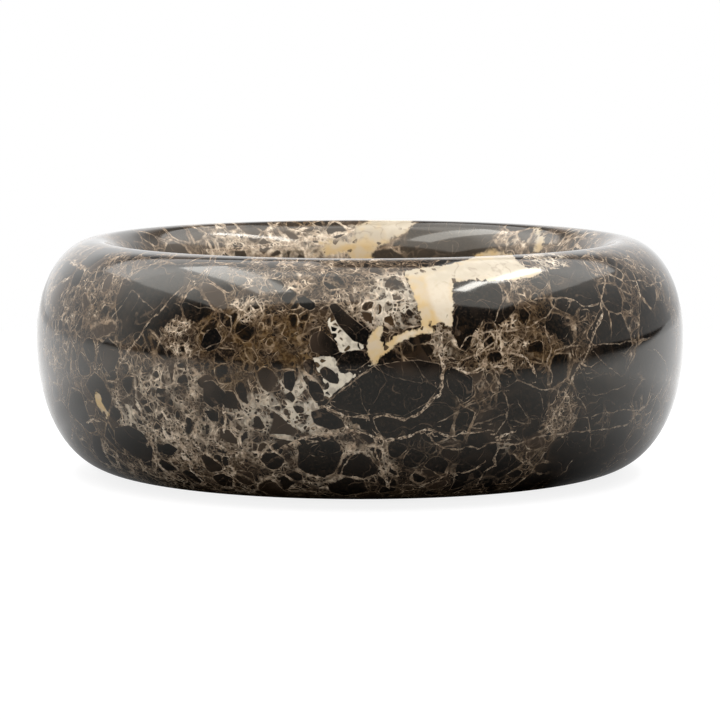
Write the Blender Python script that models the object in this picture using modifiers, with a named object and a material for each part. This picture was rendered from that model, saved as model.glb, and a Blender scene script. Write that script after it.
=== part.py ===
"""A round marble bowl with a fat rolled lip, turned from one block of stone, on four felt discs.

Metres, +Z up. The origin is on the table, under the middle of the bowl.
"""

from math import cos, pi, sin

import bmesh
import bpy

MM = 0.001

# The stone, as a lathe would measure it
BOWL_DIAMETER = 254 * MM
BOWL_HEIGHT = 90 * MM  # from the foot to the crest of the lip
WALL = 38 * MM  # belly to throat, the narrowest line of the inside
CREST_INSET = 24 * MM  # belly to the crest of the lip, measured inwards
SHOULDER_DROP = 37 * MM  # crest down to the belly, the widest line
THROAT_DROP = 26 * MM  # crest down to the throat
FOOT_INSET = 34 * MM  # belly to the edge of the flat foot, measured inwards
FLOOR = 18 * MM  # stone under the middle of the inside

# How square each quarter of the section is: 2 is an ellipse
SHOULDER_SQUARENESS = 2.0
BELLY_SQUARENESS = 2.2
LIP_SQUARENESS = 2.0
INSIDE_SQUARENESS = 2.3

# The felt discs that keep the stone off the table
DISC_DIAMETER = 22 * MM
DISC_THICKNESS = 1.5 * MM
DISC_EDGE_MARGIN = 9 * MM  # disc to the edge of the foot
DISC_COUNT = 4
GLUE_GAP = 0.3 * MM
DISC_FIRST_ANGLE = pi / DISC_COUNT  # so that no disc is straight in front

# How finely the round shapes are cut
BOWL_SIDES = 96
DISC_SIDES = 32
SHOULDER_STEPS = 8
BELLY_STEPS = 10
LIP_STEPS = 6
INSIDE_STEPS = 10
MERGE = 0.05 * MM

STONE_COLOUR = (0.035, 0.027, 0.021, 1.0)
STONE_ROUGHNESS = 0.12
FELT_COLOUR = (0.045, 0.030, 0.020, 1.0)
FELT_ROUGHNESS = 0.95

belly_radius = BOWL_DIAMETER / 2
foot_height = DISC_THICKNESS + GLUE_GAP
crest_height = foot_height + BOWL_HEIGHT


def clear_scene():
    for old in list(bpy.data.objects):
        bpy.data.objects.remove(old)


def new_collection(name):
    collection = bpy.data.collections.new(name)
    bpy.context.scene.collection.children.link(collection)
    return collection


def plain_material(name, colour, roughness):
    material = bpy.data.materials.new(name)
    material.use_nodes = True
    shader = material.node_tree.nodes["Principled BSDF"]
    shader.inputs["Base Color"].default_value = colour
    shader.inputs["Roughness"].default_value = roughness
    shader.inputs["Metallic"].default_value = 0.0
    material.diffuse_color = colour
    return material


def quarter(upright, level, squareness, steps):
    """Points of a quarter of a superellipse, from its upright end to its level end.

    upright is the (radius, height) where the curve runs straight up or down, and level is
    where it runs flat. The curve bulges away from the corner (level radius, upright height).
    """
    points = []
    for step in range(steps + 1):
        angle = pi / 2 * step / steps
        across = cos(angle) ** (2 / squareness)
        along = sin(angle) ** (2 / squareness)
        radius = level[0] + (upright[0] - level[0]) * across
        height = upright[1] + (level[1] - upright[1]) * along
        points.append((radius, height))
    return points


def bowl_section():
    """The bowl's half section, from the middle of the inside, over the lip, to under the foot."""
    crest = (belly_radius - CREST_INSET, crest_height)
    belly = (belly_radius, crest_height - SHOULDER_DROP)
    throat = (belly_radius - WALL, crest_height - THROAT_DROP)
    foot_edge = (belly_radius - FOOT_INSET, foot_height)
    inside_middle = (0.0, foot_height + FLOOR)
    foot_middle = (0.0, foot_height)

    inside = quarter(throat, inside_middle, INSIDE_SQUARENESS, INSIDE_STEPS)
    lip = quarter(throat, crest, LIP_SQUARENESS, LIP_STEPS)
    shoulder = quarter(belly, crest, SHOULDER_SQUARENESS, SHOULDER_STEPS)
    underside = quarter(belly, foot_edge, BELLY_SQUARENESS, BELLY_STEPS)
    return inside[::-1] + lip[1:] + shoulder[::-1][1:] + underside[1:] + [foot_middle]


def turned_bowl(collection, material):
    section = bowl_section()
    mesh = bpy.data.meshes.new("bowl")
    points = [(radius, 0.0, height) for radius, height in section]
    edges = [(step, step + 1) for step in range(len(points) - 1)]
    mesh.from_pydata(points, edges, [])
    mesh.materials.append(material)
    bowl = bpy.data.objects.new("bowl", mesh)
    collection.objects.link(bowl)

    lathe = bowl.modifiers.new("Lathe", "SCREW")
    lathe.axis = "Z"
    lathe.angle = 2 * pi
    lathe.screw_offset = 0.0
    lathe.steps = BOWL_SIDES
    lathe.render_steps = BOWL_SIDES
    lathe.use_merge_vertices = True
    lathe.merge_threshold = MERGE
    lathe.use_smooth_shade = True
    return bowl


def disc_mesh(material):
    mesh = bpy.data.meshes.new("felt_disc")
    shape = bmesh.new()
    bmesh.ops.create_cone(
        shape,
        cap_ends=True,
        segments=DISC_SIDES,
        radius1=DISC_DIAMETER / 2,
        radius2=DISC_DIAMETER / 2,
        depth=DISC_THICKNESS,
    )
    shape.to_mesh(mesh)
    shape.free()
    mesh.materials.append(material)
    return mesh


def felt_discs(collection, material):
    """Four round discs, stuck under the foot near its edge."""
    mesh = disc_mesh(material)
    ring_radius = belly_radius - FOOT_INSET - DISC_EDGE_MARGIN - DISC_DIAMETER / 2
    for number in range(DISC_COUNT):
        angle = DISC_FIRST_ANGLE + 2 * pi * number / DISC_COUNT
        disc = bpy.data.objects.new(f"felt_disc_{number + 1}", mesh)
        disc.location = (ring_radius * cos(angle), ring_radius * sin(angle), DISC_THICKNESS / 2)
        collection.objects.link(disc)


def main():
    clear_scene()
    collection = new_collection("marble_bowl")
    stone = plain_material("marble", STONE_COLOUR, STONE_ROUGHNESS)
    felt = plain_material("felt", FELT_COLOUR, FELT_ROUGHNESS)
    turned_bowl(collection, stone)
    felt_discs(collection, felt)


main()
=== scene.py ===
"""The look of a round marble bowl: a polished lathe-turned block of dark brecciated stone on felt feet.

Metres, +Z up, -Y towards the photograph's camera. The marble is a solid pattern in the stone's own
coordinates, and its largest veins and patches are laid on the bowl where the photograph shows them.
"""

from functools import cached_property, reduce
from math import cos, hypot, pi, radians, sin, sqrt
from random import Random

import bmesh
import bpy
import numpy as np
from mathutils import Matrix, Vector
from mathutils.bvhtree import BVHTree

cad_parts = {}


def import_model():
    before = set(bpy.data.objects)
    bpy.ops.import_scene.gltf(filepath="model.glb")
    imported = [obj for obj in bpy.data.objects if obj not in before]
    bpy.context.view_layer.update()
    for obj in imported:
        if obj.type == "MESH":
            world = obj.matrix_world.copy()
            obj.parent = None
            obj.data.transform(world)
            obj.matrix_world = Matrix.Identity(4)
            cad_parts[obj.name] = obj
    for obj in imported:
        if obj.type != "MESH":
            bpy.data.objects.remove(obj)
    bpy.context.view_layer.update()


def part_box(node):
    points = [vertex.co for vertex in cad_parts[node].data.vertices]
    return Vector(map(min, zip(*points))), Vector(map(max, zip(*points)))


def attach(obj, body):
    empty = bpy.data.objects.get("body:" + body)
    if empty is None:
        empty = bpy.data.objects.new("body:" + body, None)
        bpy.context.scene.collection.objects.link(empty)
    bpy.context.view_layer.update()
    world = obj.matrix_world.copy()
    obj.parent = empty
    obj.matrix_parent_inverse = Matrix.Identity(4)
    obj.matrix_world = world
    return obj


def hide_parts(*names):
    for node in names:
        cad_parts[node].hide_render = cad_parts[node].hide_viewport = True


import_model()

MM = 0.001

# The stone's section, as the lathe cut it
WALL = 38 * MM  # belly to throat
CREST_INSET = 24 * MM  # belly to the crest of the lip, inwards
SHOULDER_DROP = 37 * MM  # crest down to the belly
THROAT_DROP = 26 * MM  # crest down to the throat
FOOT_INSET = 34 * MM  # belly to the edge of the flat foot, inwards
FLOOR = 18 * MM  # stone under the middle of the inside
SHOULDER_SQUARENESS = 2.0
BELLY_SQUARENESS = 2.2
LIP_SQUARENESS = 2.0
INSIDE_SQUARENESS = 2.3
FOOT_SQUARENESS = 1.0

# How finely it is turned
SIDES = 560
FRONT_BUNCHING = 0.3  # how much closer the sides stand at the front
INSIDE_ROWS = 34
LIP_ROWS = 22
SHOULDER_ROWS = 44
UNDERSIDE_ROWS = 60
FOOT_ROWS = 8
WELD = 0.005 * MM

# The camera
FRAME_PIXELS = 720
SENSOR = 36.0
LENS = 193.5
FOCAL = LENS / SENSOR * FRAME_PIXELS  # in pixels
VIEW_DISTANCE = 1.524
VIEW_RISE = radians(5.87)
AIM_DROP = 3.15 * MM  # the aim lies this far under the middle of the stone

# Charts and reaches
PHOTO, SKIN, PLAN = "photo", "skin", "plan"
QUARTER_STEPS = 60  # along each quarter of the section's lines
CHART_STEP = {PHOTO: 2.5, SKIN: 0.8, PLAN: 1.0}  # between a route's points, in the chart's own measure
ROUTE_JUMP = 12 * MM  # a longer step leaps from one part of the skin to another
VEIN_REACH = 6 * MM
PATCH_REACH = 8 * MM
VEIN_WANDER = 2.4  # millimetres from its furthest left to its furthest right
VEIN_GUARD = 1.3  # millimetres that it may stray from its route, besides its half width
FAR_HAZE = 0.16  # how much of its mean colour the far wall takes on

# How broken, golden, open and pale the stone is where no dab reaches, and how a dab's weight falls
CHARACTER = ("broken", "golden", "open", "pale")
CHARACTER_GROUND = (0.55, 0.35, 0.12, 0.05)
DAB_GROUND = 0.03  # the weight of that ground, where a dab's own is 1 in its middle
DAB_FALL = -2.0

# The far wall: millimetres inwards from the crest, and behind the middle
FAR_RUN, FAR_BEYOND = (0, 12), (0, 50)

# Where the photograph shows nothing: turns in degrees, runs and places in millimetres
WILD_TURN, WILD_OUTSIDE = (82, 96), (4, 12)
WILD_INSIDE, WILD_NEARER, WILD_DEEPER = (4, 12), (-20, 10), (24, 34)
HIDDEN_TURNS = (88, 272)
HIDDEN_RUNS = (2, 150)
WALL_MM_PER_DEGREE = 2.2
HIDDEN_INSIDE_SHARE = 0.3
HIDDEN_INSIDE = 84  # millimetres: the reach of the places drawn on the inside
HIDDEN_FORWARD = 8  # millimetres by which they lie nearer the front

# What is drawn there by chance: how many, the seed, and for a patch its size and how long it is
HIDDEN_VEINS = (34, 5)
HIDDEN_DABS = (70, 3)
HIDDEN_CREAM = (7, 2, 2.0, 2.6)
HIDDEN_WHITE = (6, 8, 3.0, 2.0)
HIDDEN_CLASTS = (22, 4, 6.0, 1.8)
PATCH_CORNERS, CORNER_SWAY, CORNER_REACH = (5, 8), 0.25, (0.7, 1.15)
VEIN_STEPS, VEIN_STRIDE, VEIN_BEND = (4, 11), (3, 6), 0.35
VEIN_START, VEIN_END = (0.3, 1.1), (0.3, 0.7)
DAB_REACH = (8, 16)
STONE_KINDS = (
    # broken, golden, open, pale
    (0.05, 0.15, 0.00, 0.0),
    (0.15, 0.15, 0.05, 0.0),
    (0.50, 0.35, 0.15, 0.0),
    (0.85, 0.30, 0.20, 0.0),
    (0.95, 0.35, 0.45, 0.1),
    (0.90, 1.00, 0.15, 0.0),
    (0.70, 0.25, 0.70, 0.8),
)

# The marble's colours
BLACK_STONE = (0.0030, 0.0028, 0.0026, 1)
BROWN_STONE = (0.042, 0.028, 0.019, 1)
GOLDEN_STONE = (0.044, 0.023, 0.008, 1)
MATRIX_DARK = (0.012, 0.008, 0.005, 1)
MATRIX_BROWN = (0.110, 0.076, 0.052, 1)
MATRIX_GOLD = (0.130, 0.077, 0.031, 1)
OPEN_BROWN = (0.110, 0.074, 0.046, 1)
OPEN_TAN = (0.360, 0.260, 0.170, 1)
OPEN_PALE = (0.740, 0.590, 0.430, 1)
SEAM_BROWN = (0.170, 0.115, 0.075, 1)
SEAM_TAN = (0.500, 0.375, 0.260, 1)
SEAM_GOLD = (0.270, 0.175, 0.080, 1)
SEAM_PALE = (0.880, 0.730, 0.560, 1)
BIT_BROWN = (0.075, 0.048, 0.026, 1)
CALCITE_SHADE = (0.400, 0.350, 0.280, 1)
CALCITE = (0.630, 0.560, 0.445, 1)
CREAM_PALE = (0.610, 0.525, 0.405, 1)
CREAM_WARM = (0.535, 0.425, 0.285, 1)
CREAM_DEEP = (0.565, 0.395, 0.185, 1)
# Painted shade: the cream is darker near the crest of the lip, where the lamps light it most; it starts
# at CREST_START and is full at CREST_END
CREAM_CREST_SHADE = (0.420, 0.360, 0.270, 1)
CREST_START, CREST_END = 80, 88  # millimetres up
FAR_MEAN = (0.230, 0.180, 0.130, 1)

# Its polish: how the roughness drifts and where it starts, what the seams add, and the relief
ROUGHNESS, SEAM_ROUGHNESS = (0.06, 0.05), 0.06
GRAIN_RELIEF, SEAM_RELIEF = 0.004 * MM, -0.008 * MM
STONE_IOR = 1.5
GLOSS_TINT = (1.0, 0.97, 0.89, 1.0)

# How the stone is bent and broken, in millimetres
WARPS = ((16.0, 2.2), (4.5, 0.45), (1.3, 0.14))
WARP_DETAIL, WARP_CENTRE = 2.0, (-0.5, -0.5, -0.5)
NETS = (
    # cell size, shift, roundness, share of its cells that break up, what that loses, more where golden
    (14.0, (0.0, 0.0, 0.0), 0.5, 1.25, 0.10, 0.0),
    (7.6, (3.1, 7.7, 1.9), 1.5, 1.00, 0.16, 0.1),
    (4.4, (8.4, 1.3, 6.2), 2.5, 1.20, 0.66, 0.3),
    (2.5, (2.6, 5.5, 9.4), 2.5, 0.0, 9.0, 0.0),
)
CORNER_START = 0.42  # of a cell, from its middle
CORNER_POWER = 2.0
CLOSED_FILL, OPEN_FILL = 0.015, 0.075  # of the size of the cell
FILL_SOFTNESS = (0.05, 0.007)  # millimetres, and more by the size of the cell
SEAM_SHARE = 0.016  # of the size of the cell
SEAM_LEAST = 0.035  # millimetres, as the next
SEAM_SOFTNESS = 0.20

# Grains and bits: size in millimetres, shift, roundness
MATRIX_GRAINS = (1.5, (6.2, 9.1, 3.3), 1.5)
WHITE_BITS = (2.4, (2.7, 6.1, 4.4), 1.5)
CREAM_BITS = (2.4, (1.7, 2.1, 7.4), 1.5)

# Threads: size in millimetres, shift, half width, softness
HAIRS = ((13.0, (5.3, 2.2, 8.1), 0.03, 0.14), (24.0, (1.3, 4.2, 6.1), 0.03, 0.14))
CURLS = (2.6, (2, 7, 5), 0.02, 0.09)
CREAM_CRACKS = (9.0, (4, 3, 2), 0.04, 0.2)

# Drifts: size in millimetres, detail, shift
SLOW = (19.0, 2.0, (0, 0, 0))
MIDDLING = (6.0, 2.0, (7, 3, 1))
QUICK = (2.2, 2.0, (3, 9, 5))
GRAIN = (0.7, 2.0, (1, 4, 8))
SPECKS = (0.8, 3.0, (6, 6, 2))
DUST = (0.9, 4.0, (3, 2, 6))
TINT = (9.0, 2.0, (4, 4, 4))
SMOKE = (1.8, 4.0, (2, 8, 8))
MOTTLE = (1.3, 3.0, (5, 1, 2))
SEAM_PRESENCE = (4.0, 2.0, (9, 2, 6))
SEAM_WARMTH = (3.0, 3.0, (1, 8, 3))
VEIN_WARMTH = (3.0, 3.0, (4, 1, 7))

# The felt discs under the foot. A span has two limits and the values at them.
FELT_NODES = ("felt_disc_1", "felt_disc_2", "felt_disc_3", "felt_disc_4")
FELT_EDGE = 0.5 * MM
FELT_UNEVENNESS = 0.03
FELT_LUMPS = 6.0  # across a disc's radius
FELT_SIDES, FELT_EDGE_ROWS, FELT_RINGS = 72, 6, 6
FELT_FIBRE_SCALE = (1.2, 9.0, 1.2)
FELT_FIBRES = (
    # turn in radians, shift
    (0.0, (0.0, 7.0, 0.0)),
    (0.7, (2.1, 6.3, 0.7)),
    (1.5, (4.5, 5.5, 1.5)),
    (2.3, (6.9, 4.7, 2.3)),
)
FELT_LUMP_DETAIL, FELT_BEND_DETAIL, FELT_FIBRE_DETAIL, FELT_WEAR_DETAIL = 3.0, 1.0, 2.0, 3.0
FELT_BEND_SCALE, FELT_BEND = 0.8, 1.6
FELT_WEAR_SCALE = 0.25
FELT_SHADE = (0.50, 0.72, 0.0, 1.0)
FELT_WEAR = (0.4, 0.7, 0.0, 0.5)
FELT_NAP = 0.12 * MM
FELT_ROUGHNESS, FELT_SHEEN, FELT_SHEEN_ROUGHNESS = 0.95, 0.25, 0.5
# Painted shade: the darkest felt colour, where the fibres lie low
FELT_DEEP_SHADE = (0.016, 0.010, 0.006, 1)
FELT_BROWN = (0.060, 0.040, 0.026, 1)
FELT_WORN = (0.075, 0.056, 0.042, 1)

# The floor, in metres: a span goes from one distance to another, and from one value to another
FLOOR_REACH = 20.0
FLOOR_GAP = 0.02 * MM
FLOOR_WHITE = (0.2, 0.6, 0.84, 1.0)
FLOOR_SHADOW = (0.2, 0.6, 0.22, 0.0)
FLOOR_BOUNCE = 0.10

# The floor as the polish mirrors it: painted shadow black under the bowl, a painted glow bright to the
# sides, dark past its edge
TABLE_GREY_AND_PAINTED_SHADOW = (0.105, 0.15, 0.0, 0.27)
TABLE_NEAR = (0.02, 0.16, 0.0, 0.4)
TABLE_WIDE = (0.08, 0.35, 0.0, 0.92)
TABLE_SPREAD = 0.7
TABLE_EDGE = (0.45, 0.75, 0.0, 1.0)
TABLE_LEFT, TABLE_FRONT = -0.35, -0.9
ROOM = 0.03

# The room: an even fill for the stone's colour, and what the polish mirrors, by height, by how far
# back and by how far to the right, as a span and its two values
FILL = 0.12
LEAST_LEVEL = 0.01
ROOM_RISE = (0.20, 0.75, 0.65, 1.5)
ROOM_BACK = (0.70, 0.95, 0.0, 0.4)
ROOM_FRONT = (-0.45, 0.10, 0.03, 1.0)
ROOM_SIDES = (-1.0, 1.0, 1.5, 0.8)
ROOM_TOP = (0.45, 0.75, 0.0, 0.2)
ROOM_BEHIND = (0.5, 0.9, 0.0, 1.0)
ROOM_BEHIND_HIGH = (0.35, 0.6, 0.0, 0.9)
SOFT_BOXES = (
    # name, place, size, brightness, aim, mirrored in the polish
    ("overhead", (0.0, -0.38, 1.20), (3.0, 1.45), 1.8, (0.0, -0.38, 0.0), True),
    ("overhead, back left", (-0.78, 0.80, 1.20), (1.36, 0.90), 2.0, (-0.78, 0.80, 0.0), True),
    ("overhead, back right", (0.85, 0.80, 1.20), (1.24, 0.90), 1.9, (0.85, 0.80, 0.0), True),
    ("left strip", (-0.55, -0.08, 1.15), (0.26, 1.15), 5.0, (-0.55, -0.08, 0.0), True),
    ("right strip", (0.69, 0.10, 1.15), (0.10, 0.64), 16.0, (0.69, 0.10, 0.0), True),
    ("right strip, front", (0.625, -0.39, 1.15), (0.10, 0.36), 20.0, (0.625, -0.39, 0.0), True),
    ("left card", (-1.33, 0.43, 0.28), (1.62, 0.56), 0.8, (0.0, 0.0, 0.28), False),
    ("upper left card", (-1.33, 0.43, 0.90), (1.62, 0.66), 1.4, (0.0, 0.0, 0.90), False),
    ("right card", (1.31, 0.48, 0.28), (1.42, 0.56), 0.6, (0.0, 0.0, 0.28), False),
    ("upper right card", (1.31, 0.48, 0.90), (1.42, 0.66), 1.1, (0.0, 0.0, 0.90), False),
    ("backdrop", (0.0, 1.3, 0.50), (2.25, 1.0), 1.5, (0.0, 0.0, 0.50), False),
    ("front fill", (0.0, -1.5, 0.40), (2.0, 0.8), 3.0, (0.0, 0.0, 0.05), False),
)

# The stone's figure. A place is a pixel of the photograph (PHOTO), or a turn in degrees and a run
# from the crest in millimetres (SKIN), or x and y in millimetres on the inside (PLAN). A patch has
# the corners of its outline.

CREAM_PATCHES = {
    "front patch": (PHOTO, [
        (405, 271), (425, 268), (446, 265), (470, 259), (479, 254), (500, 252), (512, 254), (517, 261),
        (528, 268), (541, 267), (546, 270), (538, 275), (520, 279), (502, 281), (480, 280), (456, 281),
        (453, 284), (453, 325), (447, 327), (440, 322), (432, 326), (426, 331), (421, 327), (419, 310),
        (413, 292), (407, 280),
    ]),
    "front lobe": (PHOTO, [
        (367, 345), (369, 337), (373, 330), (379, 326), (383, 327), (382, 334), (381, 341), (385, 348),
        (391, 345), (386, 352), (380, 358), (373, 365), (370, 357), (367, 350),
    ]),
    "front arc": (PHOTO, [
        (378, 360), (388, 351), (398, 343), (409, 338), (421, 333), (432, 335), (434, 330), (423, 327),
        (408, 331), (394, 337), (385, 346),
    ]),
    "far band": (PHOTO, [
        (371, 222), (416, 222), (402, 232), (386, 240), (376, 248), (367, 257), (353, 257), (359, 250),
        (358, 244), (352, 240), (356, 232), (362, 226),
    ]),
    "far streak": (PHOTO, [
        (316, 254), (322, 246), (333, 241), (343, 239), (346, 246), (337, 250), (328, 256),
    ]),
    "far right streak": (PHOTO, [
        (533, 227), (541, 227), (543, 238), (540, 251), (534, 251), (536, 239),
    ]),
    "inner band": (PLAN, [
        (8, 104), (-2, 96), (-4, 90), (-6, 84), (-11, 72), (-15, 62), (-14, 52), (-22, 43), (-21, 33),
        (-16, 26), (-19, 16), (-25, 10), (-27, 3), (-20, 5), (-16, 0), (-12, -12), (-5, -20),
        (-3, -30), (3, -38), (9, -44), (9, -53), (17, -60), (20, -68), (27, -73), (26, -82), (20, -90),
        (22, -101), (40, -99), (56, -88), (52, -80), (44, -78), (41, -70), (36, -66), (36, -58),
        (28, -52), (30, -45), (38, -40), (37, -35), (26, -37), (17, -34), (10, -25), (6, -17),
        (1, -12), (0, -2), (-4, 6), (-3, 14), (-6, 22), (-4, 30), (-8, 38), (-5, 48), (1, 56), (3, 66),
        (5, 74), (4, 84), (4, 90), (12, 96), (19, 101),
    ]),
    "inner island, left": (PLAN, [(-36, 24), (-30, 28), (-27, 36), (-30, 43), (-35, 38), (-39, 31)]),
    "inner island, low": (PLAN, [(-8, -38), (-3, -42), (1, -50), (-3, -54), (-8, -48), (-11, -42)]),
    "inner island, right": (PLAN, [(8, 30), (12, 36), (11, 46), (7, 52), (4, 46), (5, 37)]),
    "back band": (SKIN, [
        (168, -8), (167, 4), (163, 14), (165, 27), (160, 36), (164, 45), (168, 40), (172, 30),
        (170, 18), (175, 12), (183, 14), (189, 9), (182, 4), (178, -2), (177, -8),
    ]),
    "back lobe": (SKIN, [(158, 52), (163, 50), (166, 56), (164, 66), (159, 70), (156, 62)]),
    "left fleck": (PHOTO, [
        (94, 392), (99, 393), (103, 404), (109, 414), (107, 419), (101, 410), (96, 402),
    ]),
}

# The paler parts of the cream, inside its patches
CREAM_CORES = {
    "front neck": (PHOTO, [
        (424, 276), (440, 271), (480, 260), (522, 256), (550, 270), (500, 285), (458, 285), (457, 330),
        (445, 331), (438, 322), (433, 308), (428, 292),
    ]),
    "front arc's core": (PHOTO, [
        (394, 346), (409, 338), (421, 333), (432, 335), (434, 330), (423, 327), (408, 331), (397, 337),
    ]),
    "far band's core": (PHOTO, [(380, 219), (417, 219), (404, 235), (388, 240), (384, 232)]),
}

WHITE_WEDGES = {
    "upper wedge": (PHOTO, [
        (329, 316), (336, 319), (365, 345), (363, 349), (345, 352), (339, 352), (336, 340), (328, 326),
    ]),
    "middle patch": (PHOTO, [
        (313, 359), (322, 355), (335, 357), (338, 366), (340, 377), (330, 380), (318, 372),
    ]),
    "lower wedge": (PHOTO, [
        (372, 364), (358, 372), (338, 374), (322, 375), (326, 388), (322, 392), (327, 400), (346, 383),
    ]),
}

DARK_CLASTS = {
    "long clast": (PHOTO, [
        (328, 304), (336, 303), (350, 316), (370, 332), (366, 346), (352, 340), (338, 325),
    ]),
    "round clast": (PHOTO, [
        (337, 362), (342, 354), (354, 350), (370, 351), (371, 360), (356, 370), (341, 369),
    ]),
    "brown clast": (PHOTO, [
        (312, 334), (322, 330), (336, 343), (340, 352), (328, 357), (312, 352), (309, 343),
    ]),
    "tilted clast": (PHOTO, [
        (319, 369), (325, 366), (334, 371), (340, 379), (338, 384), (330, 383), (322, 377),
    ]),
    "upright clast": (PHOTO, [(305, 360), (311, 359), (314, 367), (313, 377), (306, 372), (303, 366)]),
    "column clast": (PHOTO, [(308, 380), (318, 382), (324, 392), (324, 400), (315, 402), (309, 393)]),
    "left column clast": (PHOTO, [(283, 372), (294, 370), (296, 382), (292, 392), (284, 388)]),
    "six-sided clast": (PHOTO, [
        (296, 296), (302, 294), (315, 303), (316, 308), (310, 311), (300, 306),
    ]),
    "great clast": (PHOTO, [
        (375, 366), (346, 384), (326, 401), (338, 409), (364, 415), (384, 413), (404, 416), (428, 402),
        (440, 386), (440, 364), (418, 360), (396, 362),
    ]),
    "shield clast": (PHOTO, [(97, 345), (108, 338), (116, 345), (120, 356), (111, 378), (103, 366)]),
    "hollow clast": (PHOTO, [(200, 345), (206, 331), (216, 328), (222, 338), (218, 348), (208, 352)]),
    "left low clast": (PHOTO, [(203, 382), (212, 380), (226, 393), (222, 403), (212, 408), (203, 401)]),
    "left lower clast": (PHOTO, [(204, 410), (218, 411), (219, 422), (210, 421)]),
    "wide clast": (PHOTO, [
        (114, 428), (128, 425), (142, 432), (153, 449), (152, 461), (140, 459), (126, 450), (115, 441),
    ]),
    "small wide clast": (PHOTO, [(162, 445), (168, 443), (178, 449), (172, 456), (162, 454)]),
    "low middle clast": (PHOTO, [
        (311, 447), (326, 440), (340, 443), (341, 451), (322, 457), (309, 455),
    ]),
    "middle clast": (PHOTO, [(310, 412), (322, 408), (342, 419), (346, 428), (330, 430), (314, 424)]),
    "right small clast": (PHOTO, [
        (446, 374), (459, 372), (473, 376), (472, 395), (462, 401), (449, 390),
    ]),
}

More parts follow.
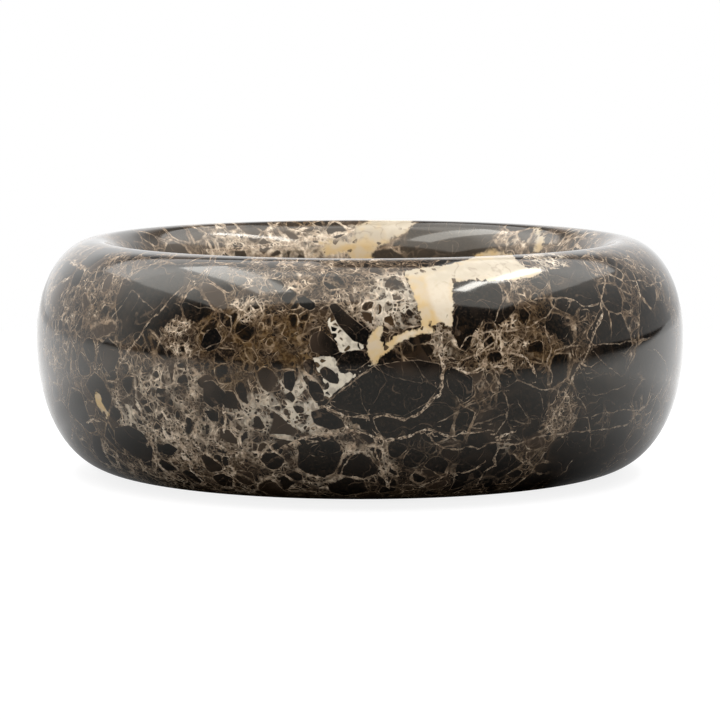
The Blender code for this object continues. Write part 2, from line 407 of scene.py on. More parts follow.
# Each vein has its width at the start and at the end, in millimetres, and its pixels
VEINS = {
    "long right vein": (0.5, 0.9, [
        (590, 251), (597, 265), (605, 278), (604, 292), (600, 306), (603, 316), (595, 331), (589, 345),
        (584, 359), (579, 367), (573, 376), (570, 386), (564, 397),
    ]),
    "long right vein's nodule": (1.7, 0.9, [(602, 317), (595, 332), (589, 346)]),
    "upper right vein": (0.5, 0.5, [
        (600, 270), (613, 276), (622, 281), (641, 280), (650, 285), (664, 281),
    ]),
    "right rim vein": (0.6, 0.4, [(625, 258), (640, 266), (655, 273), (668, 282)]),
    "outer right vein": (0.35, 0.35, [
        (640, 298), (640, 311), (637, 330), (637, 352), (631, 364), (622, 377), (612, 369), (602, 361),
        (595, 353),
    ]),
    "outer right vein's knot": (1.3, 0.7, [(640, 292), (641, 300)]),
    "right level vein": (0.5, 0.35, [(593, 345), (612, 344), (633, 341), (646, 339)]),
    "right short vein": (0.5, 0.4, [(581, 365), (590, 366), (602, 361)]),
    "right tight bend": (0.35, 0.35, [(577, 340), (575, 348), (578, 360), (581, 365)]),
    "right bright bar": (0.8, 0.6, [(556, 346), (567, 347), (577, 345)]),
    "right twin": (0.45, 0.4, [
        (573, 377), (576, 397), (582, 402), (586, 408), (588, 417), (590, 430), (591, 446),
    ]),
    "right fork": (0.5, 0.35, [(496, 318), (498, 311), (503, 300), (502, 290), (498, 283)]),
    "right fork's arm": (0.4, 0.3, [(504, 298), (513, 290), (526, 281), (540, 276)]),
    "right arc": (0.6, 0.35, [(527, 328), (537, 322), (548, 314), (553, 307), (556, 298)]),
    "right rise": (0.5, 0.6, [(535, 299), (546, 297), (556, 298), (573, 300), (584, 306), (597, 306)]),
    "right slant": (0.35, 0.3, [(566, 326), (578, 319), (592, 309)]),
    "right steep": (0.35, 0.3, [(562, 318), (567, 310), (573, 300)]),
    "right bead": (0.3, 0.3, [(592, 326), (584, 322), (572, 327), (566, 337)]),
    "outer drop": (0.3, 0.3, [(627, 311), (633, 314), (631, 328)]),
    "edge drop": (0.5, 0.4, [
        (655, 350), (661, 356), (667, 366), (667, 379), (660, 392), (651, 403), (642, 409), (633, 416),
        (630, 423),
    ]),
    "lower cross vein": (0.35, 0.5, [
        (567, 417), (580, 418), (592, 415), (607, 412), (622, 410), (633, 410), (645, 407),
    ]),
    "faint cross vein": (0.25, 0.3, [(582, 394), (595, 395), (607, 393), (617, 389), (627, 384)]),
    "faint bend": (0.25, 0.25, [(582, 373), (588, 388), (594, 394)]),
    "faint twin": (0.25, 0.25, [(582, 378), (594, 377), (605, 374)]),
    "webbing's edge": (0.8, 0.7, [
        (455, 369), (467, 373), (478, 373), (486, 368), (497, 366), (510, 366),
    ]),
    "webbing's strand": (0.5, 0.5, [
        (446, 357), (459, 361), (472, 357), (484, 349), (493, 342), (500, 333),
    ]),
    "webbing's loop": (0.6, 0.5, [
        (462, 346), (468, 337), (480, 333), (497, 330), (511, 331), (524, 329),
    ]),
    "webbing's fork": (0.9, 0.5, [(506, 354), (510, 347), (519, 337)]),
    "webbing's cross": (0.5, 1.3, [(506, 353), (518, 355), (526, 358), (532, 367), (535, 374)]),
    "webbing's right strand": (0.5, 0.6, [
        (545, 330), (549, 341), (552, 351), (547, 364), (552, 372), (552, 384),
    ]),
    "webbing's far strand": (0.5, 0.4, [(552, 351), (563, 348), (573, 349)]),
    "hanging vein": (0.5, 0.4, [
        (495, 372), (500, 385), (506, 396), (509, 407), (507, 417), (502, 425), (497, 433),
    ]),
    "hanging vein's twin": (0.4, 0.5, [
        (497, 371), (511, 377), (525, 384), (540, 389), (552, 388), (561, 393), (568, 390),
    ]),
    "crossing vein": (0.3, 0.3, [
        (460, 410), (472, 404), (485, 399), (498, 392), (510, 385), (518, 379),
    ]),
    "lower crossing vein": (0.4, 0.35, [
        (455, 436), (466, 429), (476, 424), (488, 421), (498, 417), (505, 413),
    ]),
    "middle drop": (0.3, 0.3, [(518, 403), (524, 413), (530, 418), (540, 418), (543, 409), (542, 398)]),
    "middle level": (0.3, 0.3, [(511, 420), (522, 423), (534, 423), (545, 421), (556, 417)]),
    "knot's left": (0.6, 0.4, [(566, 396), (558, 408), (550, 420), (556, 431)]),
    "knot's right": (0.6, 0.4, [(568, 397), (571, 410), (570, 422), (567, 434)]),
    "curved vein": (1.4, 0.8, [
        (441, 355), (443, 368), (442, 382), (438, 395), (431, 403), (420, 412), (405, 421), (394, 417),
        (384, 416), (367, 417), (346, 416), (335, 411), (323, 406),
    ]),
    "curved vein's link": (0.4, 0.5, [(440, 422), (452, 415), (464, 407), (476, 402)]),
    "lower vein": (0.8, 1.3, [
        (240, 453), (262, 452), (278, 450), (296, 441), (318, 436), (336, 434), (353, 431), (370, 435),
        (387, 440), (398, 439), (408, 436), (428, 428),
    ]),
    "lower vein's fork": (0.9, 0.7, [
        (428, 428), (436, 432), (452, 436), (460, 433), (475, 432), (489, 430),
    ]),
    "lower arc": (0.6, 0.6, [
        (428, 434), (433, 441), (443, 447), (458, 449), (470, 447), (480, 448), (491, 443), (500, 443),
        (517, 445),
    ]),
    "right low vein": (0.5, 0.6, [
        (517, 445), (528, 439), (540, 436), (552, 434), (567, 433), (588, 431), (610, 428), (628, 425),
        (635, 416), (642, 409),
    ]),
    "right low drops": (0.4, 0.5, [(529, 450), (530, 459), (525, 468), (517, 479), (510, 484)]),
    "right low drop": (0.5, 0.3, [(571, 462), (566, 471), (560, 475), (550, 479), (541, 482)]),
    "right low slant": (0.5, 0.4, [(545, 453), (540, 460), (533, 467), (528, 462)]),
    "low bright streak": (0.5, 0.8, [(455, 476), (466, 472), (475, 469), (483, 463)]),
    "low bright bend": (1.1, 0.5, [(498, 452), (494, 459), (496, 465), (484, 471), (477, 486)]),
    "low middle arc": (0.5, 0.5, [
        (404, 485), (416, 486), (429, 483), (438, 478), (449, 474), (458, 473),
    ]),
    "fan vein": (0.25, 0.2, [(375, 368), (385, 373), (395, 379), (412, 381), (431, 385)]),
    "fan vein's twin": (0.25, 0.35, [(415, 363), (422, 374), (432, 385), (440, 390)]),
    "great clast's crack": (0.2, 0.2, [(357, 382), (360, 391), (362, 402), (367, 415)]),
    "great clast's edge": (0.5, 0.5, [(375, 365), (362, 374), (348, 386), (336, 396), (325, 404)]),
    "middle ladder": (0.5, 0.4, [(372, 418), (376, 428), (386, 439)]),
    "middle ladder's twin": (0.5, 0.6, [
        (345, 419), (348, 431), (354, 442), (354, 455), (343, 465), (340, 478),
    ]),
    "middle drop's vein": (0.6, 1.1, [(377, 440), (376, 452), (380, 465), (386, 478), (388, 487)]),
    "low link": (0.5, 0.5, [(280, 452), (300, 445), (322, 441), (336, 437)]),
    "left slanting vein": (0.9, 0.5, [
        (122, 360), (133, 345), (144, 329), (152, 318), (163, 307), (180, 289),
    ]),
    "left shield vein": (0.4, 0.5, [(95, 350), (107, 338), (117, 344), (122, 358)]),
    "left hairline": (0.4, 0.35, [
        (110, 320), (122, 305), (132, 288), (137, 292), (145, 302), (158, 313),
    ]),
    "left curve": (0.3, 0.3, [(185, 303), (200, 308), (216, 308), (226, 303)]),
    "left golden arc": (0.4, 0.4, [
        (198, 352), (210, 346), (222, 342), (232, 330), (231, 318), (220, 309),
    ]),
    "pale low fleck": (1.6, 0.8, [(496, 438), (506, 434), (514, 432)]),
    "pale left fleck": (1.8, 1.5, [(118, 404), (121, 412), (123, 420)]),
    "pale left fleck's twin": (2.0, 1.3, [(138, 405), (141, 412), (142, 419)]),
    "pale outer fleck": (1.4, 0.7, [(88, 422), (94, 420), (99, 421)]),
    "left pale flecks": (1.4, 1.0, [(143, 432), (150, 437), (148, 444)]),
    "cream left fleck": (2.3, 1.5, [(165, 432), (168, 438), (172, 436)]),
    "far pale band": (1.2, 2.0, [
        (208, 251), (240, 248), (264, 246), (285, 243), (302, 240), (325, 236), (350, 231),
    ]),
    "far pale fork": (1.0, 1.6, [(228, 251), (232, 244), (238, 238)]),
    "far tan drop": (1.4, 1.4, [(340, 257), (346, 250), (354, 246)]),
    "far dot": (1.8, 1.8, [(301, 230), (304, 229)]),
    "tall pale fleck": (1.2, 2.2, [(223, 408), (225, 418), (224, 428)]),
    "cream low streak": (2.2, 1.2, [(183, 457), (190, 461), (191, 470), (203, 481)]),
    "cream low drop": (1.3, 2.1, [(176, 436), (180, 443), (184, 450)]),
    "low left speck": (1.9, 1.9, [(163, 412), (166, 417)]),
    "low left link": (1.7, 1.2, [(189, 440), (197, 446), (200, 452)]),
    "cream low arm": (1.3, 1.2, [(178, 441), (183, 448), (192, 451), (197, 457), (190, 462)]),
    "wide clast's rim": (0.5, 0.5, [
        (110, 432), (118, 446), (130, 456), (146, 463), (156, 458), (152, 444),
    ]),
}

# Dabs of the stone's character: pixel, reach in millimetres, how finely the stone is broken, how
# golden it is, how far its seams stand open and how white they are
DABS = {
    "left edge": ((58, 330), 14, 0.9, 0.3, 0.35, 0.0),
    "left shoulder": ((60, 275), 10, 0.8, 0.2, 0.55, 0.0),
    "left edge, low": ((70, 388), 9, 0.45, 0.15, 0.05, 0.0),
    "left foot": ((78, 445), 11, 0.75, 0.15, 0.25, 0.1),
    "left net": ((95, 300), 9, 0.95, 0.3, 0.2, 0.0),
    "left rim net": ((112, 265), 9, 1.0, 0.3, 0.15, 0.0),
    "left solid": ((145, 303), 11, 0.05, 0.15, 0.0, 0.0),
    "left solid, top": ((165, 285), 8, 0.15, 0.15, 0.0, 0.0),
    "left solid, right": ((190, 300), 6, 0.4, 0.2, 0.1, 0.0),
    "shield's surround": ((120, 375), 9, 0.92, 0.4, 0.35, 0.0),
    "frogspawn": ((173, 336), 8, 1.4, 0.6, 1.0, 0.0),
    "frogspawn's left": ((148, 350), 8, 0.8, 0.7, 0.15, 0.0),
    "golden left": ((235, 350), 14, 0.85, 1.0, 0.1, 0.0),
    "golden cells": ((222, 322), 8, 1.0, 1.0, 0.15, 0.0),
    "golden right": ((285, 345), 12, 0.8, 1.0, 0.15, 0.0),
    "tan spot": ((250, 306), 7, 1.3, 0.6, 0.8, 0.1),
    "tan spot's right": ((275, 318), 8, 1.0, 0.9, 0.2, 0.0),
    "left haze": ((215, 285), 11, 0.5, 0.3, 0.1, 0.0),
    "rim net": ((265, 272), 11, 0.95, 0.3, 0.42, 0.0),
    "polygons": ((325, 275), 14, 1.0, 0.4, 0.43, 0.0),
    "polygons' right": ((352, 292), 7, 0.98, 0.5, 0.45, 0.1),
    "web block": ((393, 303), 9, 1.0, 0.6, 0.78, 0.8),
    "left flecks": ((150, 392), 11, 0.9, 0.3, 0.6, 0.3),
    "left web": ((190, 390), 12, 0.95, 0.3, 0.4, 0.2),
    "low flecks": ((205, 437), 9, 0.95, 0.4, 1.0, 0.2),
    "low left flecks": ((165, 430), 9, 0.9, 0.4, 1.0, 0.2),
    "pale flecks": ((130, 410), 7, 0.8, 0.3, 0.7, 0.5),
    "low left": ((120, 468), 9, 0.75, 0.2, 0.65, 0.1),
    "low left, right": ((165, 478), 9, 0.8, 0.3, 0.7, 0.1),
    "white web, left": ((252, 410), 9, 0.85, 0.3, 0.45, 0.6),
    "white web": ((288, 405), 11, 0.62, 0.2, 0.64, 1.0),
    "under the gold": ((245, 378), 9, 0.95, 0.6, 0.2, 0.1),
    "low middle net": ((330, 470), 7, 0.8, 0.35, 0.3, 0.1),
    "right rise": ((560, 300), 7, 0.55, 0.3, 0.05, 0.0),
    "right foot's net": ((606, 430), 9, 0.35, 0.15, 0.05, 0.0),
    "low gold": ((225, 470), 13, 0.78, 0.8, 0.6, 0.0),
    "low gold, right": ((275, 470), 9, 0.75, 0.5, 0.6, 0.1),
    "over the low gold": ((250, 440), 8, 0.92, 0.4, 0.6, 0.2),
    "low middle": ((330, 465), 11, 0.78, 0.4, 0.55, 0.2),
    "low middle, right": ((372, 455), 10, 0.7, 0.4, 0.45, 0.2),
    "middle seam": ((345, 436), 7, 0.75, 0.4, 0.5, 0.2),
    "great clast's foot": ((390, 427), 7, 0.5, 0.3, 0.2, 0.1),
    "great clast": ((390, 390), 18, 0.0, 0.1, 0.0, 0.0),
    "low centre": ((425, 457), 11, 0.35, 0.2, 0.15, 0.1),
    "under the arc": ((402, 352), 8, 0.55, 0.9, 0.2, 0.0),
    "under the neck": ((443, 347), 7, 0.9, 0.9, 0.65, 0.2),
    "webbing, left": ((475, 345), 9, 0.84, 1.0, 0.52, 0.0),
    "webbing": ((515, 345), 9, 0.8, 1.0, 0.52, 0.0),
    "webbing, right": ((545, 350), 7, 0.75, 0.7, 0.1, 0.0),
    "dark box": ((482, 300), 9, 0.05, 0.15, 0.0, 0.0),
    "dark box's right": ((518, 290), 6, 0.85, 0.4, 0.35, 0.1),
    "pale rim web": ((550, 259), 6, 0.95, 0.2, 0.65, 0.7),
    "pale rim web, left": ((530, 261), 4, 0.9, 0.2, 0.5, 0.6),
    "right upper net": ((540, 312), 8, 0.35, 0.6, 0.05, 0.0),
    "right shoulder": ((575, 288), 10, 0.1, 0.1, 0.0, 0.0),
    "right of the webbing": ((575, 330), 8, 0.55, 0.3, 0.1, 0.0),
    "right net": ((630, 305), 15, 0.56, 0.25, 0.16, 0.0),
    "right rim net": ((642, 270), 8, 0.6, 0.3, 0.2, 0.0),
    "right edge": ((660, 350), 13, 0.1, 0.1, 0.0, 0.0),
    "right solid": ((610, 382), 14, 0.1, 0.1, 0.0, 0.0),
    "knot": ((562, 417), 6, 1.2, 0.2, 0.45, 0.0),
    "middle solid": ((520, 400), 11, 0.1, 0.1, 0.0, 0.0),
    "small clast's surround": ((482, 392), 7, 0.6, 0.3, 0.1, 0.0),
    "pale low flecks": ((500, 440), 7, 0.5, 0.1, 0.3, 0.6),
    "right low net": ((530, 458), 6, 0.65, 0.4, 0.2, 0.1),
    "right foot": ((590, 447), 15, 0.1, 0.1, 0.0, 0.0),
    "low solid": ((478, 467), 11, 0.2, 0.1, 0.1, 0.1),
    "far left": ((160, 243), 16, 0.6, 0.3, 0.25, 0.0),
    "far left band": ((232, 243), 10, 0.7, 0.3, 0.75, 0.2),
    "far band's left": ((280, 241), 10, 0.7, 0.3, 0.72, 0.2),
    "far band's foot": ((330, 246), 10, 0.85, 0.4, 0.85, 0.4),
    "far left solid": ((255, 228), 6, 0.2, 0.2, 0.0, 0.0),
    "far dark": ((455, 240), 15, 0.0, 0.05, 0.0, 0.0),
    "far right net": ((512, 240), 8, 0.6, 0.4, 0.6, 0.0),
    "far right": ((575, 240), 10, 0.6, 0.3, 0.45, 0.0),
}


class Graph:
    """A node tree written as a calculation: most methods add one node and return its output."""

    def __init__(self, tree):
        self.tree = tree

    def node(self, kind, feeds=None, **settings):
        made = self.tree.nodes.new(kind)
        for name, value in settings.items():
            setattr(made, name, value)
        for socket, value in (feeds or {}).items():
            if isinstance(value, bpy.types.NodeSocket):
                self.tree.links.new(value, made.inputs[socket])
            else:
                made.inputs[socket].default_value = value
        return made

    def out(self, kind, feeds=None, **settings):
        return self.node(kind, feeds, **settings).outputs[0]

    def math(self, operation, *values):
        return self.out("ShaderNodeMath", dict(enumerate(values)), operation=operation)

    def plus(self, value, other):
        return self.math("ADD", value, other)

    def minus(self, value, other):
        return self.math("SUBTRACT", value, other)

    def linear(self, value, slope, start):
        """The value times a slope, plus a start."""
        return self.math("MULTIPLY_ADD", value, slope, start)

    def times(self, *values):
        return reduce(lambda product, value: self.math("MULTIPLY", product, value), values)

    def most(self, *values):
        return reduce(lambda most, value: self.math("MAXIMUM", most, value), values)

    def span(self, value, low, high, start=0.0, end=1.0, kind="LINEAR"):
        """Carries a value between two limits over to another range, and holds it beyond them."""
        feeds = {0: value, 1: low, 2: high, 3: start, 4: end}
        return self.out("ShaderNodeMapRange", feeds, interpolation_type=kind)

    def ramp(self, value, low, high, start=0.0, end=1.0):
        """A span that starts and ends gently."""
        return self.span(value, low, high, start, end, "SMOOTHSTEP")

    def shift(self, place, by):
        return self.out("ShaderNodeVectorMath", {0: place, 1: by}, operation="ADD")

    def stretch(self, place, by):
        return self.out("ShaderNodeVectorMath", {0: place, "Scale": by}, operation="SCALE")

    def axes(self, place):
        return self.node("ShaderNodeSeparateXYZ", {0: place}).outputs

    def join_axes(self, x, y, z):
        return self.out("ShaderNodeCombineXYZ", {"X": x, "Y": y, "Z": z})

    def noise(self, place, detail, scale=1.0, output="Fac"):
        feeds = {"Vector": place, "Scale": scale, "Detail": detail}
        return self.node("ShaderNodeTexNoise", feeds).outputs[output]

    def blend(self, share, first, second):
        return self.out("ShaderNodeMix", {0: share, 2: first, 3: second}, data_type="FLOAT")

    def mix(self, share, first, second):
        return self.node("ShaderNodeMix", {0: share, 6: first, 7: second}, data_type="RGBA").outputs[2]


def new_group(name, kind, inputs, outputs):
    """A node group with its sockets by type, as a graph, and the outputs of its input node."""
    tree = bpy.data.node_groups.new(name, kind)
    for way, sockets in (("INPUT", inputs), ("OUTPUT", outputs)):
        for socket_kind, names in sockets.items():
            for socket in names:
                tree.interface.new_socket(socket, in_out=way, socket_type="NodeSocket" + socket_kind)
    g = Graph(tree)
    return g, g.node("NodeGroupInput").outputs


def finish_mesh(g, mesh, material):
    """The end of a Geometry Nodes tree: smooth, real and with its material."""
    smooth = g.out("GeometryNodeSetShadeSmooth", {"Geometry": mesh})
    real = g.out("GeometryNodeRealizeInstances", {"Geometry": smooth})
    done = g.out("GeometryNodeSetMaterial", {"Geometry": real, "Material": material})
    g.node("NodeGroupOutput", {"Mesh": done})


# The turned stone


def quarter_group():
    """A turned quarter of a superellipse, from where it stands upright to where it runs level."""
    inputs = {
        "Float": (
            "Upright Radius", "Upright Height", "Level Radius", "Level Height", "Squareness",
            "Front Bunching",
        ),
        "Int": ("Sides", "Rows"),
    }
    g, given = new_group("Turned quarter", "GeometryNodeTree", inputs, {"Geometry": ("Mesh",)})
    columns = g.plus(given["Sides"], 1)
    rows = g.plus(given["Rows"], 1)
    grid = g.out(
        "GeometryNodeMeshGrid",
        {"Size X": 1.0, "Size Y": 1.0, "Vertices X": columns, "Vertices Y": rows},
    )
    place = g.axes(g.out("GeometryNodeInputPosition"))
    round_share = g.plus(place["X"], 0.5)
    row_share = g.plus(place["Y"], 0.5)

    even_turn = g.times(round_share, 2 * pi)
    bunching = g.times(g.math("SINE", even_turn), given["Front Bunching"])
    turn = g.minus(g.minus(even_turn, bunching), pi / 2)

    angle = g.times(row_share, pi / 2)
    power = g.math("DIVIDE", 2.0, given["Squareness"])
    across = g.math("POWER", g.most(g.math("COSINE", angle), 0.0), power)
    along = g.math("POWER", g.math("SINE", angle), power)
    reach = g.minus(given["Upright Radius"], given["Level Radius"])
    radius = g.linear(reach, across, given["Level Radius"])
    climb = g.minus(given["Level Height"], given["Upright Height"])
    height = g.linear(climb, along, given["Upright Height"])
    sideways = g.times(radius, g.math("COSINE", turn))
    back = g.times(radius, g.math("SINE", turn))
    point = g.join_axes(sideways, back, height)
    moved = g.out("GeometryNodeSetPosition", {"Geometry": grid, "Position": point})
    g.node("NodeGroupOutput", {"Mesh": moved})
    return g.tree


SECTION_CORNERS = ("Belly", "Crest", "Throat", "Foot")
TURNING_INPUTS = {
    "Float": (
        "Belly Radius", "Belly Height", "Crest Radius", "Crest Height", "Throat Radius",
        "Throat Height", "Foot Radius", "Foot Height", "Floor Height", "Front Bunching", "Weld",
    ),
    "Int": ("Sides",),
    "Material": ("Stone",),
}


def turning_tree():
    """The whole bowl: inside, lip, shoulder, underside and foot, welded into one skin."""
    quarter = quarter_group()
    g, given = new_group("Turned bowl", "GeometryNodeTree", TURNING_INPUTS, {"Geometry": ("Mesh",)})

    def part(upright, level, squareness, rows):
        feeds = {
            "Upright Radius": upright[0],
            "Upright Height": upright[1],
            "Level Radius": level[0],
            "Level Height": level[1],
            "Squareness": squareness,
            "Sides": given["Sides"],
            "Rows": rows,
            "Front Bunching": given["Front Bunching"],
        }
        return g.out("GeometryNodeGroup", feeds, node_tree=quarter)

    belly, crest, throat, foot = (
        (given[f"{corner} Radius"], given[f"{corner} Height"]) for corner in SECTION_CORNERS
    )
    join = g.node("GeometryNodeJoinGeometry")
    for made in (
        part(throat, (0.0, given["Floor Height"]), INSIDE_SQUARENESS, INSIDE_ROWS),
        part(throat, crest, LIP_SQUARENESS, LIP_ROWS),
        part(belly, crest, SHOULDER_SQUARENESS, SHOULDER_ROWS),
        part(belly, foot, BELLY_SQUARENESS, UNDERSIDE_ROWS),
        part(foot, (0.0, given["Foot Height"]), FOOT_SQUARENESS, FOOT_ROWS),
    ):
        g.tree.links.new(made, join.inputs[0])
    joined = {"Geometry": join.outputs[0], "Distance": given["Weld"]}
    finish_mesh(g, g.out("GeometryNodeMergeByDistance", joined), given["Stone"])
    return g.tree


def place_object(name, data):
    made = bpy.data.objects.new(name, data)
    bpy.context.scene.collection.objects.link(made)
    return made


def plain_mesh(name, tree, values):
    """Runs a Geometry Nodes tree once and keeps its result as an ordinary mesh object."""
    seed = place_object(name + "_seed", bpy.data.meshes.new(name + "_seed"))
    modifier = seed.modifiers.new("Tree", "NODES")
    modifier.node_group = tree
    for socket in tree.interface.items_tree:
        if socket.in_out == "INPUT" and socket.name in values:
            modifier[socket.identifier] = values[socket.name]
    depsgraph = bpy.context.evaluated_depsgraph_get()
    mesh = bpy.data.meshes.new_from_object(seed.evaluated_get(depsgraph))
    bpy.data.objects.remove(seed)
    mesh.name = name
    shape = bmesh.new()
    shape.from_mesh(mesh)
    bmesh.ops.recalc_face_normals(shape, faces=shape.faces)
    shape.to_mesh(mesh)
    shape.free()
    return place_object(name, mesh)


def turned_bowl(stone):
    low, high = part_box("bowl")
    belly_radius = (high.x - low.x) / 2
    values = {
        "Belly Radius": belly_radius,
        "Belly Height": high.z - SHOULDER_DROP,
        "Crest Radius": belly_radius - CREST_INSET,
        "Crest Height": high.z,
        "Throat Radius": belly_radius - WALL,
        "Throat Height": high.z - THROAT_DROP,
        "Foot Radius": belly_radius - FOOT_INSET,
        "Foot Height": low.z,
        "Floor Height": low.z + FLOOR,
        "Sides": SIDES,
        "Front Bunching": FRONT_BUNCHING,
        "Weld": WELD,
        "Stone": stone,
    }
    return plain_mesh("marble_bowl", turning_tree(), values), values


# The sides that the photograph hides get a figure of the same kinds, drawn by chance


def hidden_place(chance):
    """A place on the back of the wall, on its way to the foot or low on the inside."""
    if chance.random() < HIDDEN_INSIDE_SHARE:
        turn, away = chance.uniform(-pi, pi), HIDDEN_INSIDE * sqrt(chance.random())
        return PLAN, (away * cos(turn), away * sin(turn) - HIDDEN_FORWARD)
    return SKIN, (chance.uniform(*HIDDEN_TURNS), chance.uniform(*HIDDEN_RUNS))


def beside(chart, place, heading, away):
    """The place that lies some millimetres from another, in a direction on the chart."""
    across, along = away * cos(heading), away * sin(heading)
    if chart == SKIN:
        across /= WALL_MM_PER_DEGREE
    return place[0] + across, place[1] + along


def hidden_outline(chance, size, length):
    """A broken piece's outline: a ring of corners at uneven distances, stretched one way."""
    chart, place = hidden_place(chance)
    lean = chance.uniform(0, pi)
    corners = []
    count = chance.randint(*PATCH_CORNERS)
    for number in range(count):
        heading = 2 * pi * (number + chance.uniform(-CORNER_SWAY, CORNER_SWAY)) / count
        stretch = 1 + (length - 1) * abs(cos(heading - lean))
        corners.append(beside(chart, place, heading, size * stretch * chance.uniform(*CORNER_REACH)))
    return chart, corners


def hidden_vein(chance):
    """A vein that keeps its direction for a while and bends a little at each step."""
    chart, place = hidden_place(chance)
    heading = chance.uniform(-pi, pi)
    places = [place]
    for _ in range(chance.randint(*VEIN_STEPS)):
        heading += chance.gauss(0, VEIN_BEND)
        places.append(beside(chart, places[-1], heading, chance.uniform(*VEIN_STRIDE)))
    kept = [spot for spot in places if chart == SKIN or hypot(*spot) < HIDDEN_INSIDE]
    return chart, chance.uniform(*VEIN_START), chance.uniform(*VEIN_END), kept


def hidden_dab(chance):
    chart, place = hidden_place(chance)
    return (chart, place, chance.uniform(*DAB_REACH), *chance.choice(STONE_KINDS))


def drawn(make, count, seed, *sizes):
    chance = Random(seed)
    return [make(chance, *sizes) for _ in range(count)]


# The skin and the charts that features are placed by


def between(start, end, share):
    return start + (end - start) * share


def quarter_points(upright, level, squareness):
    """The same curve as the turned quarter, as (radius, height) points."""
    points = []
    for step in range(QUARTER_STEPS + 1):
        angle = pi / 2 * step / QUARTER_STEPS
        across = max(cos(angle), 0.0) ** (2 / squareness)
        along = sin(angle) ** (2 / squareness)
        points.append((between(level[0], upright[0], across), between(upright[1], level[1], along)))
    return points


def section_lines(values):
    """The section from the crest down the inside, and from the crest down the outside."""
    belly, crest, throat, foot = (
        (values[f"{corner} Radius"], values[f"{corner} Height"]) for corner in SECTION_CORNERS
    )
    lip = quarter_points(throat, crest, LIP_SQUARENESS)
    inside = quarter_points(throat, (0.0, values["Floor Height"]), INSIDE_SQUARENESS)
    shoulder = quarter_points(belly, crest, SHOULDER_SQUARENESS)
    underside = quarter_points(belly, foot, BELLY_SQUARENESS)
    inner = lip[::-1] + inside[1:]
    outer = shoulder[::-1] + underside[1:] + [(0.0, values["Foot Height"])]
    return np.array(inner), np.array(outer)


def runs_along(line):
    steps = np.linalg.norm(np.diff(line, axis=0), axis=1)
    return np.concatenate([[0.0], np.cumsum(steps)])


def vectors(source, field, count):
    """A mesh's vectors of one field, as rows."""
    flat = np.empty(count * 3, np.float32)
    source.foreach_get(field, flat)
    return flat.reshape(count, 3).astype(float)


